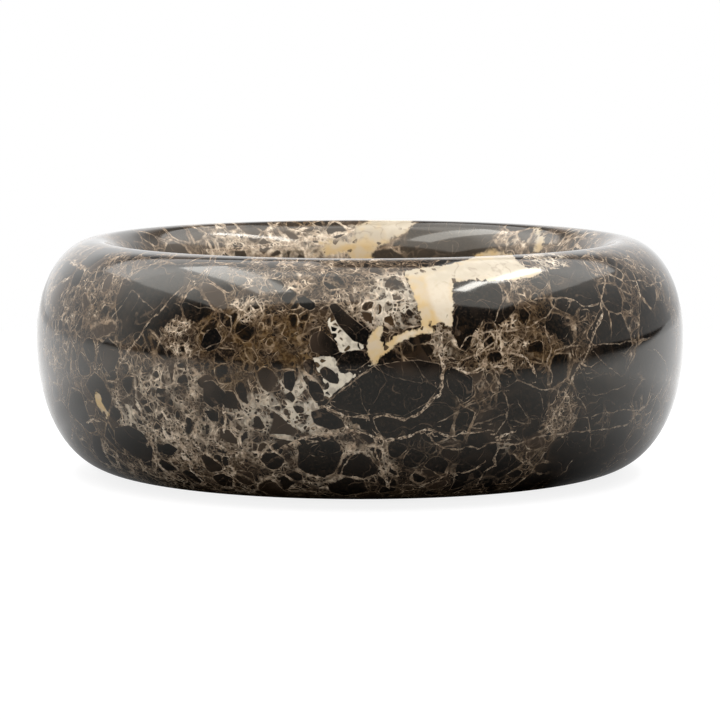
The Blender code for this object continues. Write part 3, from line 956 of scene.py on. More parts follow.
class Skin:
    """The bowl's surface, with three charts to place its figure by.

    PHOTO places are pixels of the photograph. SKIN places are a turn in degrees, 0 at the front and
    growing to the right, and a run in millimetres from the crest of the lip: outwards and down the
    wall, or, below zero, inwards. PLAN places are (x, y) in millimetres on the inside, from above.
    """

    def __init__(self, piece, values, eye):
        self.mesh = piece.data
        self.count = len(self.mesh.vertices)
        self.points = vectors(self.mesh.vertices, "co", self.count)
        self.normals = vectors(self.mesh.vertex_normals, "vector", self.count)
        faces = [tuple(face.vertices) for face in self.mesh.polygons]
        self.tree = BVHTree.FromPolygons([tuple(point) for point in self.points], faces)
        self.eye = np.array(eye.location)
        self.eye_turn = np.array(eye.rotation_euler.to_matrix())
        self.inner, self.outer = section_lines(values)
        self.inner_runs = runs_along(self.inner)
        self.outer_runs = runs_along(self.outer)

    def pixels(self, points):
        seen = (points - self.eye) @ self.eye_turn
        across = FRAME_PIXELS / 2 - FOCAL * seen[:, 0] / seen[:, 2]
        down = FRAME_PIXELS / 2 + FOCAL * seen[:, 1] / seen[:, 2]
        return np.stack([across, down], axis=1)

    @cached_property
    def runs(self):
        """Each point's run in metres, from the nearest point of the section."""
        radius, height = np.hypot(self.points[:, 0], self.points[:, 1]), self.points[:, 2]
        best = np.full(self.count, np.inf)
        run = np.zeros(self.count)
        for line, along, sign in ((self.inner, self.inner_runs, -1), (self.outer, self.outer_runs, 1)):
            for corner, length in zip(line, along):
                gap = np.hypot(radius - corner[0], height - corner[1])
                nearer = gap < best
                best[nearer] = gap[nearer]
                run[nearer] = sign * length
        return run

    @cached_property
    def skin_places(self):
        turns = np.degrees(np.arctan2(self.points[:, 0], -self.points[:, 1]))
        return np.stack([turns, self.runs / MM], axis=1)

    def flat(self, chart):
        """The mesh's points as that chart shows them, and which of them it can show."""
        if chart == PHOTO:
            towards = self.eye - self.points
            return self.pixels(self.points), np.einsum("ij,ij->i", towards, self.normals) > 0
        if chart == PLAN:
            return self.points[:, :2] / MM, self.skin_places[:, 1] < 0
        return self.skin_places, np.ones(self.count, bool)

    def lift(self, chart, place):
        """The point of the skin at a place of a chart, or None beside the skin."""
        if chart == PHOTO:
            right, up = place[0] - FRAME_PIXELS / 2, FRAME_PIXELS / 2 - place[1]
            ray = self.eye_turn @ np.array([right / FOCAL, up / FOCAL, -1.0])
            hit = self.tree.ray_cast(Vector(self.eye), Vector(ray).normalized())[0]
            return None if hit is None else np.array(hit)
        if chart == PLAN:
            height = np.interp(np.hypot(*place) * MM, self.inner[::-1, 0], self.inner[::-1, 1])
            return np.array([place[0] * MM, place[1] * MM, height])
        turn = radians(place[0])
        line, along = (self.outer, self.outer_runs) if place[1] >= 0 else (self.inner, self.inner_runs)
        radius = np.interp(abs(place[1]) * MM, along, line[:, 0])
        height = np.interp(abs(place[1]) * MM, along, line[:, 1])
        return np.array([radius * sin(turn), -radius * cos(turn), height])

    def route(self, chart, places, closed=False):
        """Closely spaced points of the skin along a line of places, with their shares of its length."""
        places = list(places) + ([places[0]] if closed else [])
        points, shares = [], []
        for number, (start, end) in enumerate(zip(places, places[1:])):
            length = np.hypot(end[0] - start[0], end[1] - start[1])
            pieces = max(1, int(length / CHART_STEP[chart]))
            last = number == len(places) - 2
            for piece in range(pieces + last):
                share = piece / pieces
                place = (between(start[0], end[0], share), between(start[1], end[1], share))
                point = self.lift(chart, place)
                if point is not None:
                    points.append(point)
                    shares.append((number + share) / (len(places) - 1))
        return np.array(points), np.array(shares)

    def near(self, points, reach):
        """Which of the mesh's points lie in the box round those points, widened by a reach."""
        low = points.min(axis=0) - reach
        high = points.max(axis=0) + reach
        return np.nonzero(((self.points > low) & (self.points < high)).all(axis=1))[0]

    def to_route(self, route, reach):
        """The near points' numbers, their distances to a route, their side of it and their share."""
        points, shares = route
        chosen = self.near(points, reach)
        here, up = self.points[chosen], self.normals[chosen]
        best = np.full(len(chosen), reach)
        side = np.full(len(chosen), reach)
        share = np.zeros(len(chosen))
        for number in range(len(points) - 1):
            start, span = points[number], points[number + 1] - points[number]
            length = span @ span
            if length == 0 or length > ROUTE_JUMP**2:
                continue
            along = np.clip((here - start) @ span / length, 0, 1)
            away = here - start - along[:, None] * span
            gap = np.linalg.norm(away, axis=1)
            nearer = gap < best
            best[nearer] = gap[nearer]
            hand = np.sign(np.einsum("ij,ij->i", np.cross(up, span), away))
            side[nearer] = (gap * hand)[nearer]
            share[nearer] = between(shares[number], shares[number + 1], along)[nearer]
        return chosen, best, side, share

    def depth(self, chart, places):
        """How deep inside a closed outline each point lies, below zero outside, up to the reach."""
        route = self.route(chart, places, closed=True)
        middle = route[0].mean(axis=0)
        size = np.linalg.norm(route[0] - middle, axis=1).max()
        flat, shown = self.flat(chart)
        outline = np.array(places, float)
        if chart == SKIN:
            centre = outline[:, 0].mean()
            flat = np.stack([(flat[:, 0] - centre + 180) % 360 - 180 + centre, flat[:, 1]], axis=1)
        chosen, gap, _, _ = self.to_route(route, PATCH_REACH)
        inside = within(flat[chosen], outline) & shown[chosen]
        inside &= np.linalg.norm(self.points[chosen] - middle, axis=1) < size
        result = np.full(self.count, -PATCH_REACH)
        result[chosen] = np.where(inside, gap, -gap)
        return result

    def keep(self, name, values):
        layer = self.mesh.attributes.new(name, "FLOAT", "POINT")
        layer.data.foreach_set("value", np.asarray(values, np.float32))


def within(places, outline):
    """Which of the flat places lie inside an outline, by crossings."""
    inside = np.zeros(len(places), bool)
    for start, end in zip(outline, np.roll(outline, -1, axis=0)):
        if start[1] == end[1]:
            continue
        level = (start[1] > places[:, 1]) != (end[1] > places[:, 1])
        crossing = start[0] + (places[:, 1] - start[1]) * (end[0] - start[0]) / (end[1] - start[1])
        inside ^= level & (places[:, 0] < crossing)
    return inside


# Laying the figure on the skin


def lay_patches(skin, name, outlines, *more):
    """The depth inside the nearest of several outlines, in millimetres."""
    deepest = np.full(skin.count, -PATCH_REACH)
    for chart, places in [*outlines.values(), *more]:
        deepest = np.maximum(deepest, skin.depth(chart, places))
    skin.keep(name, deepest / MM)


def lay_veins(skin):
    """Each point's distance to the nearest vein, on which side it lies, and half the vein's width."""
    side = np.full(skin.count, VEIN_REACH)
    gap = np.full(skin.count, VEIN_REACH)
    width = np.zeros(skin.count)
    outside = np.full(skin.count, np.inf)
    veins = [(PHOTO, *vein) for vein in VEINS.values()]
    for chart, start, end, places in [*veins, *drawn(hidden_vein, *HIDDEN_VEINS)]:
        chosen, away, hand, share = skin.to_route(skin.route(chart, places), VEIN_REACH)
        half = between(start, end, share) * MM / 2
        nearer = away - half < outside[chosen]
        which = chosen[nearer]
        outside[which] = (away - half)[nearer]
        side[which] = hand[nearer]
        gap[which] = away[nearer]
        width[which] = half[nearer]
    skin.keep("vein_side", side / MM)
    skin.keep("vein_gap", gap / MM)
    skin.keep("vein_half", width / MM)


def lay_characters(skin):
    """How broken, golden, open and pale the stone is, blended between the dabs."""
    total = np.full(skin.count, DAB_GROUND)
    sums = [total * value for value in CHARACTER_GROUND]
    dabs = [(PHOTO, *dab) for dab in DABS.values()]
    for chart, place, reach, *character in [*dabs, *drawn(hidden_dab, *HIDDEN_DABS)]:
        gap = np.linalg.norm(skin.points - skin.lift(chart, place), axis=1) / (reach * MM)
        weight = np.exp(DAB_FALL * gap**2)
        total = total + weight
        sums = [have + weight * value for have, value in zip(sums, character)]
    for name, have in zip(CHARACTER, sums):
        skin.keep(name, have / total)


def eased(values, low, high):
    return np.clip((values - low) / (high - low), 0, 1)


def lay_figure(skin):
    lay_patches(skin, "cream_depth", CREAM_PATCHES, *drawn(hidden_outline, *HIDDEN_CREAM))
    lay_patches(skin, "core_depth", CREAM_CORES)
    lay_patches(skin, "white_depth", WHITE_WEDGES, *drawn(hidden_outline, *HIDDEN_WHITE))
    lay_patches(skin, "clast_depth", DARK_CLASTS, *drawn(hidden_outline, *HIDDEN_CLASTS))
    lay_veins(skin)
    lay_characters(skin)

    # Far stands for the wall that the photograph shows out of focus, wild for what it doesn't show
    turn, run = np.abs((skin.skin_places[:, 0] + 180) % 360 - 180), skin.skin_places[:, 1]
    beyond = skin.points[:, 1] / MM
    skin.keep("far", eased(-run, *FAR_RUN) * eased(beyond, *FAR_BEYOND))
    outside = eased(turn, *WILD_TURN) * eased(run, *WILD_OUTSIDE)
    near_inside = eased(-run, *WILD_INSIDE) * eased(-beyond, *WILD_NEARER)
    skin.keep("wild", np.maximum.reduce([outside, near_inside, eased(-run, *WILD_DEEPER)]))


# The marble. A pair for ramp() says where a mask is 0 and where it is 1. A pair for linear() is a
# slope and a start. A pair for line() is a half width and a softness, in millimetres.


def new_material(name):
    material = bpy.data.materials.new(name)
    material.use_nodes = True
    material.node_tree.nodes.clear()
    return material


def warp_group():
    """Bends a place by drifting noise, so that straight seams wander and fray."""
    g, given = new_group("Stone warp", "ShaderNodeTree", {"Vector": ("Place",)}, {"Vector": ("Place",)})
    bent = given["Place"]
    for size, reach in WARPS:
        noise = g.noise(g.stretch(given["Place"], 1 / size), WARP_DETAIL, output="Color")
        bent = g.shift(bent, g.stretch(g.shift(noise, WARP_CENTRE), 2 * reach))
    g.node("NodeGroupOutput", {"Place": bent})
    return g.tree


def net_group():
    """Cells of broken stone: the distance to the seam beside them, and two draws for each cell."""
    g, given = new_group(
        "Broken cells",
        "ShaderNodeTree",
        {"Vector": ("Place", "Shift"), "Float": ("Cell Size", "Roundness")},
        {"Float": ("Seam Distance", "Draw", "Second Draw")},
    )
    scale = g.math("DIVIDE", 1.0, given["Cell Size"])
    feeds = {"Vector": g.shift(g.stretch(given["Place"], scale), given["Shift"]), "Scale": 1.0}
    edge = g.node("ShaderNodeTexVoronoi", feeds, feature="DISTANCE_TO_EDGE").outputs["Distance"]
    cell = g.node("ShaderNodeTexVoronoi", feeds, feature="F1").outputs
    draws = g.node("ShaderNodeSeparateColor", {"Color": cell["Color"]}).outputs
    outlying = g.most(g.minus(cell["Distance"], CORNER_START), 0.0)
    corner = g.times(g.math("POWER", outlying, CORNER_POWER), given["Roundness"])
    rounded = g.times(g.minus(edge, corner), given["Cell Size"])
    g.node("NodeGroupOutput", {"Seam Distance": rounded, "Draw": draws[0], "Second Draw": draws[1]})
    return g.tree


def seam_group():
    """A line from a distance: 1 on the seam, fading to 0 over its soft edge."""
    inputs = {"Float": ("Distance", "Half Width", "Softness")}
    g, given = new_group("Seam line", "ShaderNodeTree", inputs, {"Float": ("Line",)})
    outer = g.plus(given["Half Width"], given["Softness"])
    g.node("NodeGroupOutput", {"Line": g.ramp(given["Distance"], given["Half Width"], outer, 1.0, 0.0)})
    return g.tree


DRIFT_MIDDLE = 0.5
THREAD_SLOPE = 1.25  # turns a drift's distance from its middle value into one along the stone
THREAD_DETAIL = 1.0
DUST_SPAN = (0.46, 0.72)
BEAD_SPAN, BEAD_GAIN = (0.36, 0.60), (0.45, 0.55)
TIDE_SPAN = (0.3, 0.65)
BROKEN_SLOW = 0.6
GOLDEN_TIDE, OPEN_TIDE = (0.8, 0.3), (1.1, 0.2)
HAIR_QUICK, HAIR_MIDDLING = (0.3, 0.6), (0.38, 0.55)
FRAY_QUICK, FRAY_GRAIN, STRAY_REACH = 2.2, 0.7, 10.0  # millimetres
STRAY_FAR = 0.6


class Stone(Graph):
    """The marble's own steps on top of the plain ones, and what its parts share."""

    def __init__(self, tree):
        super().__init__(tree)
        self.net, self.seam = net_group(), seam_group()
        where = self.node("ShaderNodeTexCoord").outputs["Object"]
        self.place = self.stretch(where, 1 / MM)
        self.bent = self.out("ShaderNodeGroup", {"Place": self.place}, node_tree=warp_group())
        self.far, self.wild, self.pale = (self.attribute(name) for name in ("far", "wild", "pale"))

        # Slow and quick drifts, and how broken, golden and open the stone is here
        self.slow, self.middling, self.quick = (self.drift(*kind) for kind in (SLOW, MIDDLING, QUICK))
        self.grain, self.specks = self.drift(*GRAIN), self.drift(*SPECKS)
        self.dust = self.ramp(self.drift(*DUST), *DUST_SPAN)
        self.beads = self.linear(self.ramp(self.specks, *BEAD_SPAN), *BEAD_GAIN)
        tide = self.ramp(self.middling, *TIDE_SPAN)
        self.broken = self.linear(self.swing(self.slow), BROKEN_SLOW, self.attribute("broken"))
        self.golden = self.times(self.attribute("golden"), self.linear(tide, *GOLDEN_TIDE))
        self.opened = self.times(self.attribute("open"), self.linear(tide, *OPEN_TIDE))

        # Hairlines through solid stone, and a ragged change of distance for the edges of patches
        self.hair = self.times(
            self.most(*(self.thread(*hair) for hair in HAIRS)),
            self.ramp(self.quick, *HAIR_QUICK),
            self.ramp(self.middling, *HAIR_MIDDLING),
        )
        rough = self.times(self.swing(self.grain), FRAY_GRAIN)
        self.fray = self.linear(self.swing(self.quick), FRAY_QUICK, rough)

        # A much more ragged one for the patches that no photograph shows
        ragged = self.linear(self.swing(self.middling), STRAY_REACH, self.fray)
        ragged = self.linear(self.swing(self.slow), STRAY_REACH, ragged)
        self.stray = self.times(ragged, self.linear(self.far, STRAY_FAR, self.wild))

    def swing(self, drift):
        """A drift's swing to either side of its middle value."""
        return self.minus(drift, DRIFT_MIDDLE)

    def drift(self, size, detail, shift):
        """Slow noise from 0 to 1 with features of one size, in millimetres."""
        return self.noise(self.shift(self.stretch(self.place, 1 / size), shift), detail)

    def thread(self, size, shift, half, softness):
        """Long curved lines, where a slow drift passes its middle value."""
        noise = self.noise(self.shift(self.stretch(self.bent, 1 / size), shift), THREAD_DETAIL)
        level = self.math("ABSOLUTE", self.swing(noise))
        return self.line(self.times(level, THREAD_SLOPE * size), half, softness)

    def attribute(self, name):
        return self.node("ShaderNodeAttribute", attribute_name=name).outputs["Fac"]

    def cells(self, size, shift, roundness):
        feeds = {"Place": self.bent, "Cell Size": size, "Shift": shift, "Roundness": roundness}
        return self.node("ShaderNodeGroup", feeds, node_tree=self.net).outputs

    def line(self, distance, half, softness):
        feeds = {"Distance": distance, "Half Width": half, "Softness": softness}
        return self.out("ShaderNodeGroup", feeds, node_tree=self.seam)


def marble_material():
    material = new_material("marble")
    g = Stone(material.node_tree)
    colour, seams = breccia(g)
    colour, clast = dark_clasts(g, colour)
    colour = white_calcite(g, colour, clast)
    colour, vein = laid_veins(g, colour)
    colour, cream = cream_band(g, colour)
    colour = g.mix(g.times(g.far, FAR_HAZE), colour, FAR_MEAN)

    # Polish: the seams take it a little less well than the dark stone
    softer = g.most(g.times(seams, g.minus(1.0, clast)), vein, cream)
    roughness = g.linear(softer, SEAM_ROUGHNESS, g.linear(g.quick, *ROUGHNESS))
    relief = g.linear(softer, SEAM_RELIEF, g.times(g.grain, GRAIN_RELIEF))
    feeds = {
        "Base Color": colour,
        "Roughness": roughness,
        "Normal": g.out("ShaderNodeBump", {"Height": relief, "Strength": 1.0, "Distance": 1.0}),
        "IOR": STONE_IOR,
        "Specular Tint": GLOSS_TINT,
    }
    g.node("ShaderNodeOutputMaterial", {"Surface": g.out("ShaderNodeBsdfPrincipled", feeds)})
    return material


SWELL_MIDDLING, SWELL_MIDDLING_GAIN = (0.35, 0.75), (1.2, 0.3)
SWELL_QUICK, SWELL_QUICK_GAIN = (0.3, 0.7), (1.3, 0.35)
CRUSHED_SHARE, CURL_SHARE, HAIR_SHARE = 0.9, 0.10, 0.4
CURL_LINE, CURL_BROKEN, CURL_MIDDLING = (0.3, 0.4), (0.3, 0.7), (0.40, 0.6)
PRESENCE_SPAN, PRESENCE_GAIN = (0.35, 0.65), (0.72, 0.24)
WARMTH_OPEN = 0.26
SEAM_TAN_SPAN, SEAM_PALE_SPAN = (0.42, 0.67), (0.62, 0.80)
GILT_SPAN, GILT_GAIN = (0.1, 0.45), (-0.45, 0.6)


def breccia(g):
    """Dark cells within cells, with a crushed matrix between them and thin seams along it."""
    swell = g.times(
        g.linear(g.ramp(g.middling, *SWELL_MIDDLING), *SWELL_MIDDLING_GAIN),
        g.linear(g.ramp(g.quick, *SWELL_QUICK), *SWELL_QUICK_GAIN),
    )
    seams, crushed, depth, tint = cell_nets(g, swell)
    colour = cell_stone(g, depth, tint)
    colour = g.mix(g.times(crushed, CRUSHED_SHARE), colour, matrix_stone(g, swell))

    # Curling threads in the matrix, and the seams themselves
    curl = g.times(
        g.thread(*CURLS),
        g.line(depth, *CURL_LINE),
        g.ramp(g.broken, *CURL_BROKEN),
        g.ramp(g.middling, *CURL_MIDDLING),
    )
    presence = g.linear(g.ramp(g.drift(*SEAM_PRESENCE), *PRESENCE_SPAN), *PRESENCE_GAIN)
    warmth = g.linear(g.opened, WARMTH_OPEN, g.drift(*SEAM_WARMTH))
    tone = g.mix(g.ramp(warmth, *SEAM_TAN_SPAN), SEAM_BROWN, SEAM_TAN)
    tone = g.mix(g.ramp(warmth, *SEAM_PALE_SPAN), tone, SEAM_PALE)
    gilt = g.times(g.golden, g.linear(g.ramp(g.opened, *GILT_SPAN), *GILT_GAIN))
    tone = g.mix(gilt, tone, SEAM_GOLD)
    colour = g.mix(g.times(curl, CURL_SHARE), colour, tone)
    colour = g.mix(g.times(seams, presence, g.beads), colour, tone)
    return g.mix(g.times(g.hair, HAIR_SHARE), colour, SEAM_BROWN), g.most(seams, crushed)


FAR_SEAM_SOFTNESS, FAR_FILL_SOFTNESS = 0.45, 0.4
FIRST_BREAK, BREAK_WIDTH = (0.2, 0.5), 0.1
DEEPEST = 9.0  # millimetres
SEAM_LOSS, CRUSHED_LOSS = (-0.8, 1.0), (-0.5, 1.0)


def cell_nets(g, swell):
    """The nets, from the coarse to the fine: seams, crushed stone, depth in a cell and its draw."""
    spread = g.linear(g.opened, OPEN_FILL, g.times(swell, CLOSED_FILL))
    softness = g.linear(g.far, FAR_SEAM_SOFTNESS, SEAM_SOFTNESS)
    shown, chance, tint = 1.0, g.ramp(g.broken, *FIRST_BREAK), g.drift(*TINT)
    seams, crushed, depth = 0.0, 0.0, DEEPEST
    for size, shift, roundness, share, loss, whole in NETS:
        cell = g.cells(size, shift, roundness)
        distance = cell["Seam Distance"]
        shown = g.times(shown, chance)
        seam_half = g.times(swell, SEAM_SHARE * size + SEAM_LEAST)
        seam = g.line(g.math("ABSOLUTE", distance), seam_half, softness)
        blur = g.linear(g.far, FAR_FILL_SOFTNESS, FILL_SOFTNESS[0] + FILL_SOFTNESS[1] * size)
        fill = g.line(distance, g.times(spread, size), blur)

        # A cell that breaks up loses most of its seam, and some of the crushed stone round it
        wholeness = g.linear(g.golden, whole, cell["Draw"])
        chance = g.ramp(g.minus(g.times(g.broken, share), wholeness), loss, loss + BREAK_WIDTH)
        seams = g.most(seams, g.times(seam, shown, g.linear(chance, *SEAM_LOSS)))
        crushed = g.most(crushed, g.times(fill, shown, g.linear(chance, *CRUSHED_LOSS)))
        hidden = g.times(g.minus(1.0, shown), DEEPEST)
        depth = g.math("MINIMUM", depth, g.plus(hidden, distance))
        tint = g.blend(shown, tint, cell["Second Draw"])
    return seams, crushed, depth, tint


TINT_GOLDEN, BROWN_SPAN = -0.25, (0.40, 0.95)
SMOKE_SPAN, SMOKE_SHARE = (0.45, 0.75), 0.45
DUST_SHARE = 0.5
PALE_GOLD_SHARE = 2.0
GLOW_LINE, GLOW_SPAN, GLOW_SHARE = (0.1, 1.1), (0.3, 0.6), 0.8
FUZZ_LINE, FUZZ_SPAN, FUZZ_BROKEN, FUZZ_SHARE = (0.0, 1.1), (0.44, 0.62), (0.2, 0.7), 0.7


def cell_stone(g, depth, tint):
    """The cells: black, brown here and there, and lit golden along their edges."""
    brown = g.most(
        g.ramp(g.linear(g.golden, TINT_GOLDEN, tint), *BROWN_SPAN),
        g.times(g.ramp(g.drift(*SMOKE), *SMOKE_SPAN), SMOKE_SHARE),
        g.times(g.dust, DUST_SHARE),
        g.times(g.pale, g.golden, PALE_GOLD_SHARE),
    )
    dark = g.mix(brown, BLACK_STONE, g.mix(g.golden, BROWN_STONE, GOLDEN_STONE))
    glow = g.times(g.golden, g.line(depth, *GLOW_LINE), g.ramp(g.middling, *GLOW_SPAN))
    colour = g.mix(g.times(glow, GLOW_SHARE), dark, GOLDEN_STONE)
    fuzz = g.times(
        g.line(depth, *FUZZ_LINE), g.ramp(g.specks, *FUZZ_SPAN), g.ramp(g.broken, *FUZZ_BROKEN)
    )
    return g.mix(g.times(fuzz, FUZZ_SHARE), colour, g.mix(g.golden, MATRIX_BROWN, MATRIX_GOLD))


MOTTLE_SPAN = (0.36, 0.64)
OPEN_PALE_SPAN, OPEN_SPAN = (0.4, 0.65), (0.2, 0.6)
WHITE_SPAN, CALCITE_SPAN = (0.1, 0.4), (0.3, 0.55)
SHORE_OPEN, SHORE_SWELL = 0.16, 0.05
GRAIN_EDGE, GRAIN_DRAW, GRAIN_TONE = (0.0, 0.10), (0.1, 0.2), (0.3, 1.0)
GRAIN_WHITE, GRAIN_FAR = 0.5, (-0.8, 1.0)


def matrix_stone(g, swell):
    """Fine dark grains in brown to golden stone, and in tan to white where it stands open."""
    mottle = g.ramp(g.drift(*MOTTLE), *MOTTLE_SPAN)
    brown = g.mix(mottle, MATRIX_DARK, MATRIX_BROWN)
    gold = g.mix(mottle, GOLDEN_STONE, MATRIX_GOLD)
    tan = g.mix(mottle, OPEN_BROWN, g.mix(g.ramp(g.quick, *OPEN_PALE_SPAN), OPEN_TAN, OPEN_PALE))
    matrix = g.mix(g.ramp(g.opened, *OPEN_SPAN), g.mix(g.golden, brown, gold), tan)
    white = g.times(g.pale, g.ramp(g.opened, *WHITE_SPAN))
    matrix = g.mix(white, matrix, g.mix(g.ramp(g.quick, *CALCITE_SPAN), CALCITE_SHADE, CALCITE))

    grains = g.cells(*MATRIX_GRAINS)
    shore = g.linear(g.opened, SHORE_OPEN, g.times(swell, SHORE_SWELL))
    grain = g.times(
        g.ramp(g.minus(grains["Seam Distance"], shore), *GRAIN_EDGE),
        g.ramp(g.minus(grains["Draw"], g.times(white, GRAIN_WHITE)), *GRAIN_DRAW),
        g.linear(g.far, *GRAIN_FAR),
    )
    bright = g.mix(g.golden, BROWN_STONE, GOLDEN_STONE)
    tone = g.ramp(grains["Second Draw"], *GRAIN_TONE)
    return g.mix(grain, matrix, g.mix(tone, MATRIX_DARK, bright))


CLAST_FRAY, CLAST_STRAY, CLAST_EDGE = 0.3, 0.7, (-0.12, 0.12)
CLAST_BROWN = (0.5, 0.8)
RIM_LINE, RIM_SPAN, RIM_SHARE = (0.0, 0.2), (0.4, 0.65), 0.5


def dark_clasts(g, colour):
    """The solid dark pieces laid on the skin, with a fine tan rim in places."""
    depth = g.linear(g.fray, CLAST_FRAY, g.linear(g.stray, CLAST_STRAY, g.attribute("clast_depth")))
    clast = g.ramp(depth, *CLAST_EDGE)
    brown = g.most(g.ramp(g.slow, *CLAST_BROWN), g.times(g.dust, DUST_SHARE))
    stone = g.mix(brown, BLACK_STONE, BROWN_STONE)
    stone = g.mix(g.times(g.hair, HAIR_SHARE), stone, SEAM_BROWN)
    rim = g.times(g.line(g.math("ABSOLUTE", depth), *RIM_LINE), g.ramp(g.quick, *RIM_SPAN))
    return g.mix(g.times(rim, RIM_SHARE), g.mix(clast, colour, stone), SEAM_TAN), clast


WEDGE_FRAY, WEDGE_EDGE, WEDGE_SHADE = 0.8, (-0.15, 0.15), (0.35, 0.6)
WHITE_BIT_EDGE, WHITE_BIT_DRAW, WHITE_BIT_TONE = (0.25, 0.45), (0.45, 0.50), (0.3, 0.8)


def white_calcite(g, colour, clast):
    """Solid white wedges with a few brown bits in them."""
    depth = g.linear(g.fray, WEDGE_FRAY, g.plus(g.stray, g.attribute("white_depth")))
    bits = g.cells(*WHITE_BITS)
    bit = g.times(g.ramp(bits["Seam Distance"], *WHITE_BIT_EDGE), g.ramp(bits["Draw"], *WHITE_BIT_DRAW))
    bit_stone = g.mix(g.ramp(bits["Second Draw"], *WHITE_BIT_TONE), BIT_BROWN, BLACK_STONE)
    shade = g.mix(g.ramp(g.quick, *WEDGE_SHADE), CALCITE_SHADE, CALCITE)
    white = g.times(g.ramp(depth, *WEDGE_EDGE), g.minus(1.0, clast))
    return g.mix(white, colour, g.mix(bit, shade, bit_stone))


VEIN_FRAY = 0.22
VEIN_WIDTH_SPAN, VEIN_WIDTH_GAIN = (0.3, 0.7), (0.9, 0.2)
VEIN_SOFTNESS = (0.6, 0.15)
VEIN_HALF_SPAN, VEIN_HALF_GAIN, VEIN_LEAST = (0.05, 0.4), (0.7, 0.3), (0.0, 0.05)
VEIN_WARMTH_HALF, VEIN_TAN_SPAN, VEIN_PALE_SPAN = 0.28, (0.42, 0.60), (0.62, 0.85)
HOLLOW_DEPTH, HOLLOW_SPECKS, HOLLOW_HALF = (0.12, 0.3), (0.58, 0.42), (0.95, 0.75)
VEIN_STRENGTH_SPAN, VEIN_STRENGTH_GAIN = (0.45, 0.85), (0.6, 0.22)


def laid_veins(g, colour):
    """The veins laid on the skin: they wander, fray and change in strength along their way."""
    wander = g.linear(g.swing(g.middling), VEIN_WANDER, g.attribute("vein_side"))
    side = g.math("ABSOLUTE", g.linear(g.fray, VEIN_FRAY, wander))
    away = g.minus(g.attribute("vein_gap"), VEIN_GUARD)
    half = g.attribute("vein_half")
    width = g.linear(g.ramp(g.quick, *VEIN_WIDTH_SPAN), *VEIN_WIDTH_GAIN)
    vein = g.times(
        g.line(g.most(side, away), g.times(half, width), g.linear(g.far, *VEIN_SOFTNESS)),
        g.linear(g.ramp(half, *VEIN_HALF_SPAN), *VEIN_HALF_GAIN),
        g.ramp(half, *VEIN_LEAST),
    )
    warmth = g.linear(half, VEIN_WARMTH_HALF, g.drift(*VEIN_WARMTH))
    tone = g.mix(g.ramp(warmth, *VEIN_TAN_SPAN), SEAM_BROWN, SEAM_TAN)
    tone = g.mix(g.ramp(warmth, *VEIN_PALE_SPAN), tone, SEAM_PALE)

    # Dark hollows along the middle of all but the thinnest and the broadest
    hollow = g.times(
        g.ramp(g.minus(half, side), *HOLLOW_DEPTH),
        g.ramp(g.specks, *HOLLOW_SPECKS),
        g.ramp(half, *HOLLOW_HALF),
    )
    tone = g.mix(hollow, tone, MATRIX_BROWN)
    strength = g.linear(g.ramp(g.plus(g.quick, half), *VEIN_STRENGTH_SPAN), *VEIN_STRENGTH_GAIN)
    return g.mix(g.times(vein, strength, g.beads), colour, tone), vein


CRUMBS, CREAM_FRAY, CREAM_SOFTNESS = 0.8, 1.2, (0.8, 0.35)
CORE_FRAY, CORE_EDGE, CORE_WILD = 0.6, (-1.2, 1.4), (0.35, 0.65)
CLOUD_SPAN, CLOUD_GOLDEN = (0.4, 0.65), (0.2, 0.6)
PALE_SPAN, PALE_SHARE = (0.45, 0.7), 0.35
MARGIN_LINE, MARGIN_SPAN, MARGIN_SHARE = (0.2, 2.2), (0.35, 0.6), 0.5
CREST_GAIN = (-0.35, 0.95)
CREAM_BIT_EDGE, CREAM_BIT_DRAW, CREAM_BIT_LINE = (0.3, 0.4), (0.80, 0.86), (1.0, 2.2)
CRACK_SPAN, CRACK_CREST, CRACK_SHARE = (0.35, 0.6), 0.35, 0.8


def cream_band(g, colour):
    """The cream band: clouded from pale to warm, painted darker on the lip as shade, with a few brown
    bits and cracks.
    """
    crumbs = g.linear(g.swing(g.specks), CRUMBS, g.stray)
    depth = g.linear(g.fray, CREAM_FRAY, g.plus(crumbs, g.attribute("cream_depth")))
    soft = g.linear(g.far, *CREAM_SOFTNESS)
    cream = g.ramp(depth, g.times(soft, -1.0), soft)
    core = g.ramp(g.linear(g.fray, CORE_FRAY, g.attribute("core_depth")), *CORE_EDGE)
    core = g.most(core, g.times(g.wild, g.ramp(g.slow, *CORE_WILD)))
    cloudy = g.ramp(g.middling, *CLOUD_SPAN)
    warm = g.mix(g.most(cloudy, g.ramp(g.golden, *CLOUD_GOLDEN)), CREAM_WARM, CREAM_DEEP)
    pale = g.mix(g.times(g.ramp(g.quick, *PALE_SPAN), PALE_SHARE), CREAM_PALE, CREAM_WARM)
    margin = g.times(g.line(depth, *MARGIN_LINE), g.ramp(g.middling, *MARGIN_SPAN), MARGIN_SHARE)
    cloud = g.mix(margin, g.mix(core, warm, pale), CREAM_DEEP)
    # Painted shade: the cream darkens towards the top of the lip, where the lamps light it most
    crest = g.ramp(g.axes(g.place)["Z"], CREST_START, CREST_END)
    cloud = g.mix(g.times(crest, g.linear(cloudy, *CREST_GAIN)), cloud, CREAM_CREST_SHADE)

    bits = g.cells(*CREAM_BITS)
    bit = g.times(
        g.ramp(bits["Seam Distance"], *CREAM_BIT_EDGE),
        g.ramp(bits["Draw"], *CREAM_BIT_DRAW),
        g.line(depth, *CREAM_BIT_LINE),
    )
    crack = g.times(
        g.thread(*CREAM_CRACKS),
        g.ramp(g.quick, *CRACK_SPAN),
        g.most(g.wild, g.times(crest, CRACK_CREST)),
        CRACK_SHARE,
    )
    return g.mix(cream, colour, g.mix(g.most(bit, crack), cloud, BIT_BROWN)), cream


# The felt feet


FELT_INPUTS = {
    "Vector": ("Centre",),
    "Float": ("Radius", "Thickness", "Edge", "Unevenness"),
    "Int": ("Sides", "Edge Rows", "Rings"),
    "Material": ("Felt",),
}


